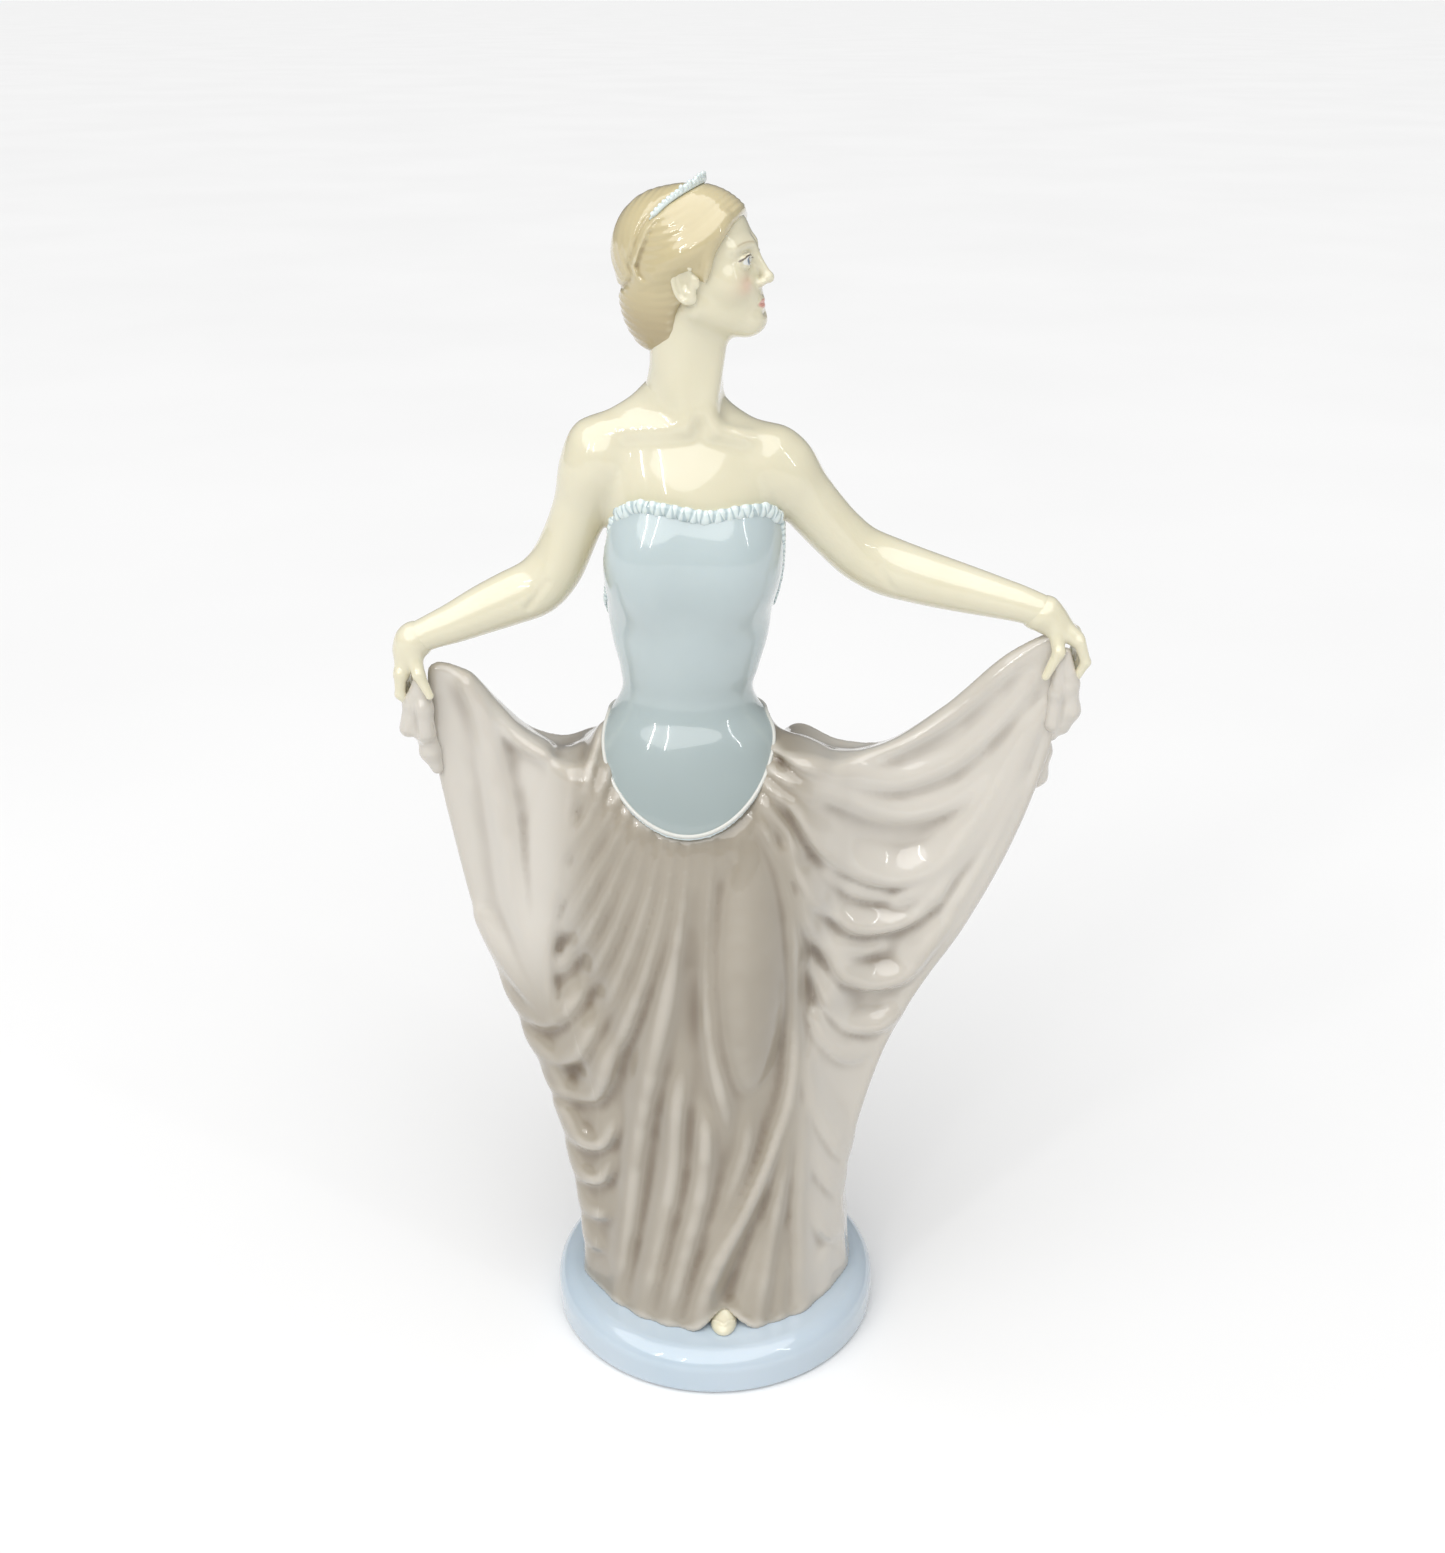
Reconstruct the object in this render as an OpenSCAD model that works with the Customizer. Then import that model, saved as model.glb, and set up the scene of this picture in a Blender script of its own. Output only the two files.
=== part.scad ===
// Porcelain dancer figurine, holding her skirt out to both sides.
// Slip-cast sections luted together: every section below is a solid of its own.
// Millimetres, +Z up, origin at the centre of the foot ring's plane, the dancer facing -Y.

/* [Plinth] */
// Diameter of the round plinth
plinth_d = 88; // [84:1:96]
// Height of the plinth
plinth_h = 12; // [10:0.5:14]
// Diameter of the kiln vent in the underside
vent_d = 7; // [4:0.5:9]

/* [Walls] */
// Thickness of the cast walls
wall = 2.6; // [2:0.1:3.2]
// Thickness of the glazed cloth panels
cloth = 4.4; // [3.5:0.1:6]

/* [Skirt] */
// Half width of the skirt where it meets the plinth
hem_a = 35; // [33:0.5:37]
// Half depth of the skirt where it meets the plinth
hem_b = 33; // [30:0.5:34]
// Height of the point of the bodice above the foot plane
point_z = 152; // [148:1:156]
// Height of the skirt's top at the hips
hip_z = 173; // [170:1:176]
// Depth of the folds
fold = 1.6; // [0:0.1:2.2]

/* [Bodice] */
// Height of the neckline
neckline_z = 230; // [227:1:232]
// Height of the low back
low_back_z = 184; // [180:1:192]
// Thickness of the bodice over the torso
bodice_t = 1.3; // [1:0.1:2]

/* [Head] */
// Turn of the head to the dancer's left
head_turn = 72; // [50:1:80]
// Tilt of the chin upwards
head_tilt = 10; // [0:1:20]

/* [Hidden] */
$fn = 48;

porcelain_blue = [0.74, 0.81, 0.90];
bodice_blue = [0.75, 0.81, 0.83];
cloth_mauve = [0.82, 0.78, 0.74];
skin = [0.91, 0.88, 0.76];
hair = [0.80, 0.74, 0.58];

// Straight-line table look-up: rows are [key, value...], in rising order.
function mix(a, b, t) = a + (b - a) * t;
function row_at(rows, k, i = 0) =
    k <= rows[0][0] ? rows[0] :
    i >= len(rows) - 2 || k < rows[i + 1][0]
        ? mix(rows[i], rows[i + 1], min(1, (k - rows[i][0]) / (rows[i + 1][0] - rows[i][0])))
        : row_at(rows, k, i + 1);
function smooth(t) = t <= 0 ? 0 : t >= 1 ? 1 : t * t * (3 - 2 * t);
function unit(v) = v / norm(v);
function flipped(list) = [for (i = [len(list) - 1:-1:0]) list[i]];
function flat(lists) = [for (l = lists) for (x = l) x];

// A closed skin over rings of points. Each end is closed by a strip across its ring.
module skin_over(rings) {
    n = len(rings[0]);
    m = len(rings);
    last = (m - 1) * n;
    half = n / 2;
    sides = [for (j = [0:m - 2]) for (i = [0:n - 1]) let (k = (i + 1) % n)
        each [[j * n + i, (j + 1) * n + k, j * n + k], [j * n + i, (j + 1) * n + i, (j + 1) * n + k]]];
    strip = [for (i = [0:half - 2]) let (a = i, b = i + 1, c = n - 2 - i, d = n - 1 - i)
        each [[a, b, c], [a, c, d]]];
    ends = [for (f = strip) if (f[0] != f[1] && f[1] != f[2]) each [f, [for (v = flipped(f)) last + v]]];
    polyhedron(points = flat(rings), faces = concat(sides, ends));
}

// A cast wall: outer rings and inner rings, joined at both open ends.
module cast_wall(outer, inner) {
    rings = concat(outer, flipped(inner));
    n = len(rings[0]);
    m = len(rings);
    faces = [for (j = [0:m - 1]) for (i = [0:n - 1]) let (k = (i + 1) % n, l = (j + 1) % m)
        each [[j * n + i, l * n + k, j * n + k], [j * n + i, l * n + i, l * n + k]]];
    polyhedron(points = flat(rings), faces = faces);
}

// A panel between a grid of front points and a grid of back points.
module panel(front, back) {
    m = len(front);
    n = len(front[0]);
    o = m * n;
    quads = concat(
        [for (i = [0:m - 2]) for (j = [0:n - 2])
            [i * n + j, (i + 1) * n + j, (i + 1) * n + j + 1, i * n + j + 1]],
        [for (i = [0:m - 2]) for (j = [0:n - 2])
            [o + i * n + j, o + i * n + j + 1, o + (i + 1) * n + j + 1, o + (i + 1) * n + j]],
        [for (i = [0:m - 2]) [i * n, o + i * n, o + (i + 1) * n, (i + 1) * n]],
        [for (i = [0:m - 2]) let (a = i * n + n - 1, b = a + n) [a, b, o + b, o + a]],
        [for (j = [0:n - 2]) [j, j + 1, o + j + 1, o + j]],
        [for (j = [0:n - 2]) let (b = (m - 1) * n) [b + j, o + b + j, o + b + j + 1, b + j + 1]]);
    polyhedron(points = concat(flat(front), flat(back)),
        faces = [for (q = quads) each [[q[0], q[2], q[1]], [q[0], q[3], q[2]]]]);
}

// A round limb along stations [x, y, z, radius across, radius along Y].
function across(a, b) = let (d = unit(b - a)) unit(cross([0, 1, 0], d));
function station(rows, i) = [rows[i][0], rows[i][1], rows[i][2]];
function limb_ring(rows, i, n) =
    let (a = station(rows, max(0, i - 1)), b = station(rows, min(len(rows) - 1, i + 1)),
        u = across(a, b), w = unit(cross(unit(b - a), u)))
    [for (k = [0:n - 1]) station(rows, i) + rows[i][3] * cos(360 * k / n) * u
        + rows[i][4] * sin(360 * k / n) * w];
module limb(rows, n = 20) {
    skin_over([for (i = [0:len(rows) - 1]) limb_ring(rows, i, n)]);
}

// ---- plinth -------------------------------------------------------------
neck_r = 8; // radius of the passage from the plinth into the skirt
foot_z = 1.2; // how far the foot ring stands below the underside
shoulder_r = 5.5; // rounding of the plinth's upper edge
module plinth() {
    r = plinth_d / 2;
    color(porcelain_blue)
        rotate_extrude($fn = 96)
            polygon(concat(
                [[vent_d / 2, foot_z], [r - 7.6, foot_z], [r - 7, 0], [r - 3, 0]],
                [for (a = [-70:14:0]) [r - 1.5 + 1.5 * cos(a), 1.5 + 1.5 * sin(a)]],
                [for (a = [0:9:90])
                    [r - shoulder_r + shoulder_r * cos(a), plinth_h - shoulder_r + shoulder_r * sin(a)]],
                [[neck_r, plinth_h], [neck_r, plinth_h - wall], [r - 8, plinth_h - wall],
                    [r - 5, plinth_h - 5], [r - 5, foot_z + wall], [vent_d / 2, foot_z + wall]]));
}

// ---- skirt --------------------------------------------------------------
// Rows: height, centre x, half width, centre y, half depth.
skirt_rows = [
    [plinth_h, 0.5, hem_a, 0, hem_b],
    [18, 0.2, 34, 0, 31.4],
    [28, 0, 32.5, 0, 29.2],
    [60, -1, 31, 0, 26],
    [90, -3, 30, -1, 24.5],
    [120, -5, 28.5, -1, 23],
    [140, -6, 28, -1, 21.5],
    [156, -6.5, 27, -0.5, 19.8],
    [165, -6.5, 25, 0, 18],
    [hip_z + 1, -6.5, 20.8, 0, 14.8]];

// Angle 0 points at the dancer's front, -Y, and grows towards +X.
function oval(cx, cy, a, b, t) = [cx + a * sin(t), cy - b * cos(t)];
function front_share(t) = max(0, cos(t));
// The skirt's top edge and the bodice's lower edge: a deep point in front.
function waist_edge(t) = hip_z - (hip_z - point_z) * pow(front_share(t), 2.2);
function skirt_ring(level, inset) =
    [for (i = [0:59]) let (
        t = 6 * i,
        z = mix(plinth_h, waist_edge(t), level),
        row = row_at(skirt_rows, z),
        wave = fold * (1 - level) * pow(cos(t), 2) * (cos(11 * t + 40 * level) + 0.5 * cos(7 * t)) - inset,
        p = oval(row[1], row[3], row[2] + wave, row[4] + wave, t))
        [p[0], p[1], z]];
module skirt_body() {
    levels = [for (k = [0:11]) k / 11];
    color(cloth_mauve)
        cast_wall([for (l = levels) skirt_ring(l, 0)], [for (l = levels) skirt_ring(l, wall)]);
}

// The cloth that each hand lifts. Each root lies on the skirt's side; rows: share of the
// way up, y, z. Each edge hangs free below the hand; rows: share of the way up, x, y, z.
right_root = [[0, -1, 12.2], [0.35, -2, 62], [0.7, -3, 118], [1, -2, 163]];
right_edge = [[0, -37.5, 2, 12.6], [0.25, -44.5, 2, 69], [0.4, -51.5, 1, 90], [0.5, -57, 0, 106],
    [0.75, -65, -3, 140], [0.9, -68.5, -5, 163], [1, -68, -6.2, 191]];
left_root = [[0, -1, 12.2], [0.35, -2, 62], [0.7, -3, 118], [1, -2, 165]];
left_edge = [[0, 37.5, 2, 12.6], [0.22, 42.5, 2, 72], [0.45, 57, 0, 106], [0.7, 72.5, -3, 138],
    [0.88, 80, -5, 164], [1, 81, -6.2, 196]];
root_half = 8.5; // half thickness of the lifted cloth at the skirt
edge_half = cloth / 2.4; // half thickness at its free edge
function skirt_side_x(side, y, z) = let (row = row_at(skirt_rows, z))
    row[1] + side * row[2] * sqrt(max(0, 1 - pow((y - row[3]) / row[4], 2)));
function lifted_point(side, root, edge, sag, s, t, off, inset) =
    let (a = row_at(root, t), b = row_at(edge, t),
        rounded = pow(sin(180 * mix(0.06, 0.94, t)), 0.35),
        half = max(0.4, mix(root_half, edge_half, pow(s, 0.7)) * rounded - inset),
        ripple = 1.2 * sin(360 * (5 * t + 0.3)) * sin(180 * s),
        y = mix(a[1], b[2], s) + ripple + off * half,
        x0 = skirt_side_x(side, y, a[2]),
        trim = inset * (1 - 2 * t),
        hang = sag * pow(t, 1.5) * 4 * s * (1 - s))
    [mix(x0, b[1], s), y, mix(a[2], b[3], s) - hang + trim];
function lifted_ring(side, root, edge, sag, s, inset) = let (steps = 18)
    concat([for (i = [0:steps]) lifted_point(side, root, edge, sag, s, i / steps, -1, inset)],
        [for (i = [steps:-1:0]) lifted_point(side, root, edge, sag, s, i / steps, 1, inset)]);
module lifted_cloth(side, root, edge, sag) {
    outer = [for (k = [7:-1:0]) lifted_ring(side, root, edge, sag, k / 7, 0)];
    inner = [for (k = [0:4]) lifted_ring(side, root, edge, sag, k / 7, wall)];
    rings = concat(outer, inner);
    color(cloth_mauve) skin_over(side > 0 ? [for (r = rings) flipped(r)] : rings);
}
module right_wing() lifted_cloth(-1, right_root, right_edge, 3.5);
module left_wing() lifted_cloth(1, left_root, left_edge, 8);

// The ends of cloth that hang below each grip.
module right_tail() color(cloth_mauve)
    limb([[-71.5, -7, 186, 1, 1.4], [-72.5, -7, 184, 3, 2.8], [-73, -7, 178, 3.6, 4.4],
        [-72.6, -6, 172, 2.9, 3.8], [-72.6, -6, 169, 3.5, 4.2], [-71, -5, 164, 2.4, 3.4],
        [-70, -5, 161, 1, 1.4]], n = 14);
module left_tail() color(cloth_mauve)
    limb([[84, -6, 191, 1, 1.4], [84.4, -6, 189, 2.4, 2.8], [84.6, -6, 182, 3, 4.4],
        [83.8, -5, 176, 2.4, 3.8], [84, -5, 172, 3.2, 4.4], [82.8, -4, 167.5, 1.8, 2.6],
        [82.4, -4, 166, 0.8, 1]], n = 14);
module left_lower_tail() color(cloth_mauve)
    limb([[80, 2, 172, 1, 1], [80.2, 2, 170, 2.6, 2.2], [80, 2, 163, 3.4, 3],
        [79, 2, 157, 3, 2.6], [77.8, 2, 153, 1, 1]], n = 14);

// ---- piping and slipper -------------------------------------------------
// A cord along closed or open points, with a radius that may swell by a beat.
module cord(points, radius, swell = 0, beat = 1, n = 6, closed = false) {
    m = len(points);
    last = m - 1;
    rings = [for (i = [0:last]) let (
        a = points[closed ? (i + last) % m : max(0, i - 1)],
        b = points[closed ? (i + 1) % m : min(last, i + 1)],
        d = unit(b - a), u = unit(cross(d, [0.01, 0.02, 1])), w = cross(d, u),
        r = radius + swell * pow(sin(180 * beat * i), 2))
        [for (k = [0:n - 1]) points[i] + r * cos(360 * k / n) * u + r * sin(360 * k / n) * w]];
    if (closed) {
        faces = [for (j = [0:last]) for (i = [0:n - 1]) let (k = (i + 1) % n, l = (j + 1) % m)
            each [[j * n + i, l * n + k, j * n + k], [j * n + i, l * n + i, l * n + k]]];
        polyhedron(points = flat(rings), faces = [for (f = faces) flipped(f)]);
    } else skin_over([for (r = rings) r]);
}
function on_skirt_top(t, proud) =
    let (z = waist_edge(t), row = row_at(skirt_rows, z),
        p = oval(row[1], row[3], row[2] + proud, row[4] + proud, t))
    [p[0], p[1], z + 0.4];
module waist_piping() color([0.95, 0.94, 0.91])
    cord([for (t = [0:5:355]) on_skirt_top(t, 0.5)], 0.8, closed = true);

// The toe stands on the plinth. Rows: y, half width, half height.
toe_rows = [[-35.5, 2.6, 2.5], [-37.2, 2.5, 2.3], [-38.8, 2, 1.8], [-40, 1.2, 1.1], [-40.6, 0.4, 0.4]];
toe_x = 1.8; // the toe's place beside the middle
module slipper() color(skin)
    limb([for (r = toe_rows) [toe_x, r[0], plinth_h + r[2], r[1], r[2]]], n = 16);

// ---- torso and bodice ---------------------------------------------------
neck_z = 253; // height of the seam between the torso and the neck
// Rows: height, centre x, half width, centre y, half depth.
torso_rows = [
    [144, -6, 28, -1, 21.4],
    [152, -6.2, 27, -0.7, 20.2],
    [160, -6.4, 25.6, -0.4, 18.6],
    [167, -6.4, 23.2, -0.1, 16.6],
    [173, -6.3, 20, 0, 14.4],
    [178, -6.6, 16.2, 0, 12.2],
    [182, -6.5, 14.6, -0.1, 11.2],
    [192, -6, 16.2, -0.6, 12],
    [206, -5.7, 18.6, -1.8, 13.6],
    [218, -4.9, 19.8, -2.3, 14.6],
    [230, -5, 20.2, -1.4, 13],
    [238, -5.4, 20.2, -0.2, 11.2],
    [243, -6.4, 19, 0.7, 10],
    [247, -7.6, 15, 1, 9],
    [250, -7.4, 11.6, 1, 8.4],
    [neck_z, -6.8, 9, 0.8, 8]];
function torso_ring(z, grow) =
    let (row = row_at(torso_rows, z))
    [for (i = [0:35]) let (p = oval(row[1], row[3], row[2] + grow, row[4] + grow, 10 * i)) [p[0], p[1], z]];
module torso() {
    heights = [178, 182, 192, 206, 218, 230, 238, 243, 247, 250, neck_z];
    color(skin)
        cast_wall([for (z = heights) torso_ring(z, 0)], [for (z = heights) torso_ring(z, -wall)]);
}

// The bodice's upper edge: level in front, falling down the sides to a low back.
function bodice_top(t) = let (side = acos(cos(t)),
        fall = 0.55 * smooth((side - 76) / 26) + 0.45 * smooth((side - 90) / 70))
    mix(neckline_z, low_back_z, fall) - 1.2 * exp(-pow(side / 14, 2));
function on_torso(t, z, grow) =
    let (row = row_at(torso_rows, z), p = oval(row[1], row[3], row[2] + grow, row[4] + grow, t))
    [p[0], p[1], z];
function bodice_ring(level, grow) =
    [for (i = [0:47]) let (t = 7.5 * i) on_torso(t, mix(waist_edge(t) + 1.2, bodice_top(t), level), grow)];
module bodice() {
    levels = [for (k = [0:8]) k / 8];
    color(bodice_blue)
        cast_wall([for (l = levels) bodice_ring(l, bodice_t)], [for (l = levels) bodice_ring(l, 0.05)]);
}
module neckline_trim() color([0.86, 0.91, 0.90])
    cord([for (t = [-76:4:76]) on_torso(t, bodice_top(t) + 0.6, bodice_t + 0.4)], 1.1, 0.5, 0.5);
module back_trim() color([0.86, 0.91, 0.90])
    cord([for (t = [80:4:280]) on_torso(t, bodice_top(t) + 0.6, bodice_t + 0.2)], 0.8, 0.4, 0.5);

// ---- arms and hands -----------------------------------------------------
// Stations: x, y, z, radius across, radius in depth.
module right_arm() color(skin)
    limb([[-24.2, 0.5, 239, 8.2, 8], [-27.2, 0.6, 237.6, 7.7, 7.7], [-29.2, 0.8, 233.6, 6.8, 7],
        [-30.6, 1.4, 228, 6.3, 6.6], [-34, 2.4, 219, 6.2, 6.4], [-37.5, 3.2, 211.5, 6.6, 6.2],
        [-41, 3, 206.6, 7, 6], [-47, 1.6, 204, 6.4, 5.8], [-54, -0.6, 201.6, 5.7, 5.3],
        [-62, -3, 199, 4.6, 4.4], [-68, -4.6, 197, 3.9, 3.8], [-70.5, -5.2, 196, 3.7, 3.6]]);
module left_arm() color(skin)
    limb([[11.6, 0.5, 236.4, 8, 7.8], [14.8, 0.6, 235.2, 7.5, 7.6], [18.2, 0.8, 232.4, 6.8, 7.1],
        [22.4, 1.4, 227.4, 6.6, 6.8], [28, 2.4, 220.4, 6.4, 6.4], [34, 3.2, 213.6, 6.6, 6.2],
        [40, 3, 210, 6.8, 6], [48, 1.6, 208.4, 6.3, 5.8], [57, -0.6, 207.2, 5.6, 5.3],
        [67, -3, 205.6, 4.6, 4.4], [74, -4.6, 204, 3.9, 3.8], [77, -5.2, 203.2, 3.7, 3.6]]);

// A finger as a chain of rounded bones.
module bones(points, r1, r2) {
    last = len(points) - 1;
    for (i = [0:last - 1]) hull() {
        translate(points[i]) sphere(mix(r1, r2, i / last), $fn = 10);
        translate(points[i + 1]) sphere(mix(r1, r2, (i + 1) / last), $fn = 10);
    }
}
// A hand whose wrist is at the origin, reaching along +X and down, with the thumb in front
// of the cloth and the fingers behind it.
module hand(reach, drop) color(skin) {
    hull() {
        translate([0.8, 0, -0.8]) sphere(3.3, $fn = 14);
        translate([reach, -1.4, -drop]) sphere(2.5, $fn = 14);
        translate([reach - 0.8, 4, -drop]) sphere(2.5, $fn = 14);
    }
    for (k = [0:3])
        bones([[reach + 0.6 - 0.4 * k, 0.6 + 2 * k, -drop - 1],
            [reach + 2.2 - 0.5 * k, 2.4 + 1.8 * k, -drop - 6.5],
            [reach + 0.6 - 0.6 * k, 2.8 + 1.6 * k, -drop - 10.6 + 0.5 * k]], 1.6, 1.1);
    bones([[1.2, -2.6, -3], [0.8, -5, -8.6], [-0.8, -5.6, -14]], 1.7, 1.1);
}
module right_hand() translate([-71, -5.2, 195.8]) mirror([1, 0, 0]) hand(2.6, 6.4);
module left_hand() translate([77.6, -5.2, 203]) hand(5.4, 5.6);

// ---- head ---------------------------------------------------------------
// The head is shaped in its own frame, facing -Y, and then tilted and turned.
head_at = [-5.5, -1, 282.8];
function tilted(p) = let (c = cos(head_tilt), s = sin(head_tilt))
    [p[0], c * p[1] + s * p[2], c * p[2] - s * p[1]];
function turned(p) = let (c = cos(head_turn), s = sin(head_turn))
    [c * p[0] - s * p[1], s * p[0] + c * p[1], p[2]];
function placed(p) = head_at + turned(tilted(p));
function rise_of(a, low, high) = smooth((a - low) / (high - low));
// A soft swelling of the head's surface at one place on it.
function swelling(az, el, az0, el0, w, h) = h * exp(-(pow((az - az0) / w, 2) + pow((el - el0) / w, 2)));
function head_r(az, el) = let (a = acos(cos(az)))
    13.2 + 0.8 * rise_of(a, 60, 140) * cos(el)
    - 1.7 * exp(-pow((a - 90) / 36, 2))
    + 2.2 * exp(-pow(a / 60, 2)) * rise_of(-el, 4, 46)
    - 1.8 * rise_of(a, 90, 150) * rise_of(-el, 8, 48)
    + swelling(a, el, 0, -12, 9, 2.4)
    + swelling(a, el, 0, -46, 16, 1.3);
function head_point(az, el, grow) =
    placed((head_r(az, el) + grow) * [sin(az) * cos(el), -cos(az) * cos(el), sin(el) * 1.12]);
function head_ring(el, grow) = [for (i = [0:23]) head_point(15 * i, el, grow)];
// Rows: height, centre x, half width, centre y, half depth. Angle 0 turns with the face.
neck_rows = [[neck_z, -6.8, 9, 0.8, 8], [256, -6.2, 8.5, 0.5, 7.9], [261, -5.6, 8.2, 0, 7.7],
    [266.5, -5.2, 7.9, -0.5, 7.6]];
function neck_ring(row, grow) =
    [for (i = [0:23]) let (p = oval(row[1], row[3], row[2] + grow, row[4] + grow, 15 * i + head_turn))
        [p[0], p[1], row[0]]];
module head() {
    rise = [for (k = [0:10]) mix(-56, 86, k / 10)];
    outer = concat([for (r = neck_rows) neck_ring(r, 0)], [for (e = rise) head_ring(e, 0)]);
    inner = concat([for (r = neck_rows) neck_ring(r, -wall)], [for (e = rise) head_ring(e, -wall)]);
    color(skin) skin_over(concat(flipped(outer), inner));
}

// The hairline runs over the brow, round the ears and down to the nape.
hair_t = 1.4; // thickness of the combed hair
function hairline(az) = let (a = acos(cos(az))) mix(38, -46, smooth((a - 26) / 92));
function hair_ring(level, grow) =
    [for (i = [0:23]) head_point(15 * i, mix(hairline(15 * i), 86, level), grow)];
module hair_cap() {
    levels = [for (k = [0:6]) k / 6];
    color(hair) skin_over(concat([for (l = flipped(levels)) hair_ring(l, hair_t)],
        [for (l = levels) hair_ring(l, 0.05)]));
}
// The roll of hair lies on the back of the combed hair.
roll_bulge = 4.4; // how far the roll stands out
function roll_point(u, v, out) = let (
    lift = out * roll_bulge * sqrt(max(0, (1 - pow(u, 4)) * (1 - pow(v, 4)))),
    az = 180 + 74 * u * sqrt(1 - 0.3 * v * v), el = 16 + 56 * v)
    head_point(az, el, hair_t + 0.05 + 0.3 * out + lift);
module chignon() {
    steps = [for (k = [-6:6]) k / 6];
    color(hair) panel([for (u = steps) [for (v = steps) roll_point(u, v, 1)]],
        [for (u = steps) [for (v = steps) roll_point(u, v, 0)]]);
}

// The tiara crosses the crown from one side of the head to the other.
function crown_point(a, grow) = head_point(a > 0 ? 92 : -92, 90 - abs(a), grow);
module tiara_band() color([0.82, 0.88, 0.86])
    cord([for (a = [-58:4:58]) crown_point(a + 0.01, hair_t + 0.5)], 0.8, n = 8);
module tiara_beads() color([0.86, 0.91, 0.90])
    for (k = [-5:5]) translate(crown_point(k * 8 + 0.01, hair_t + 1.5)) sphere(1.2 - 0.1 * abs(k), $fn = 20);

plinth();
skirt_body();
right_wing();
left_wing();
right_tail();
left_tail();
left_lower_tail();
waist_piping();
slipper();
torso();
bodice();
neckline_trim();
back_trim();
right_arm();
left_arm();
right_hand();
left_hand();
head();
hair_cap();
chignon();
tiara_band();
tiara_beads();
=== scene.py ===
"""Looks of the porcelain dancer. Every form is worked out in millimetres and built in metres."""
import math

import bpy
import numpy as np
import openvdb
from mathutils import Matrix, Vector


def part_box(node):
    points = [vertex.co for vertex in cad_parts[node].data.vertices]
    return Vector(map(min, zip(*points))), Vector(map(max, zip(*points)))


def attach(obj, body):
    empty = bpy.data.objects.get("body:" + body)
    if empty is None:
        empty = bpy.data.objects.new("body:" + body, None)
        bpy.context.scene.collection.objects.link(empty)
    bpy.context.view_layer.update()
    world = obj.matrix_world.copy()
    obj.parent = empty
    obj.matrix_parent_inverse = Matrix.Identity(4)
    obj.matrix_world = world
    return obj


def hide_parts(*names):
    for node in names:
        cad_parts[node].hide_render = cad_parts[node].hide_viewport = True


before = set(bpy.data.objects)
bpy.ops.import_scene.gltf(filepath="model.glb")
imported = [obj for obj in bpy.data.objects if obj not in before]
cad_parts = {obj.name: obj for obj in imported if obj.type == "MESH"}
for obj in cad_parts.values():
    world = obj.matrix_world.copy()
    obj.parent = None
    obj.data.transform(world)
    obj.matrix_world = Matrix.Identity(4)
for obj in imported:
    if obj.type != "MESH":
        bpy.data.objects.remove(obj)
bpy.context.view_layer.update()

MM = 0.001
F = np.float32


# ---- curves and fields ----
def smooth(t):
    """Rises gently from 0 to 1 as t goes from 0 to 1."""
    t = np.clip(t, 0.0, 1.0)
    return t * t * (3.0 - 2.0 * t)


def rows_at(rows, key):
    """Smooth look-up in rows of [key, value, ...]; one array per value."""
    table = np.array(rows, float)
    keys = table[:, 0]
    slopes = np.gradient(table[:, 1:], keys, axis=0)
    key = np.clip(key, keys[0], keys[-1])
    i = np.clip(np.searchsorted(keys, key) - 1, 0, len(keys) - 2)
    gap = (keys[i + 1] - keys[i])
    t = (key - keys[i]) / gap
    out = []
    for c in range(table.shape[1] - 1):
        a, b = table[i, c + 1], table[i + 1, c + 1]
        ma, mb = slopes[i, c] * gap, slopes[i + 1, c] * gap
        out.append(((2 * t - 3) * t * t + 1) * a + ((t - 2) * t + 1) * t * ma
                   + (3 - 2 * t) * t * t * b + (t - 1) * t * t * mb)
    return [o.astype(F) for o in out]


def spline(points, count):
    """Points along a smooth curve through a few chosen ones."""
    points = np.array(points, float)
    at = np.concatenate([[0.0], np.cumsum(np.linalg.norm(np.diff(points, axis=0), axis=1))])
    s = np.linspace(0.0, at[-1], count)
    if len(points) == 2:
        return np.stack([np.interp(s, at, points[:, c]) for c in range(points.shape[1])], 1)
    rows = [[k, *p] for k, p in zip(at, points)]
    return np.stack(rows_at(rows, s), 1).astype(float)


def smin(a, b, k):
    h = np.maximum(k - np.abs(a - b), 0.0) / k
    return np.minimum(a, b) - h * h * k * 0.25


def smax(a, b, k):
    return -smin(-a, -b, k)


def axes(lo, hi, step):
    """Open grids of x, y and z over a box."""
    x, y, z = (np.arange(a, b + step, step, dtype=F) for a, b in zip(lo, hi))
    return x[:, None, None], y[None, :, None], z[None, None, :]


def oval(x, y, cx, a, cy, b):
    """Distance to an ellipse whose centre and half axes may change with height."""
    u, v = x - cx, y - cy
    r = np.sqrt((u / a) ** 2 + (v / b) ** 2) + 1e-6
    slope = np.sqrt((u / a ** 2) ** 2 + (v / b ** 2) ** 2) + 1e-6
    return (r - 1.0) * r / slope


def ball(p, centre, radii):
    """Distance to an ellipsoid."""
    q = [(c - m) for c, m in zip(p, centre)]
    r = np.sqrt(sum((c / s) ** 2 for c, s in zip(q, radii))) + 1e-6
    slope = np.sqrt(sum((c / s ** 2) ** 2 for c, s in zip(q, radii))) + 1e-6
    return (r - 1.0) * r / slope


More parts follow.
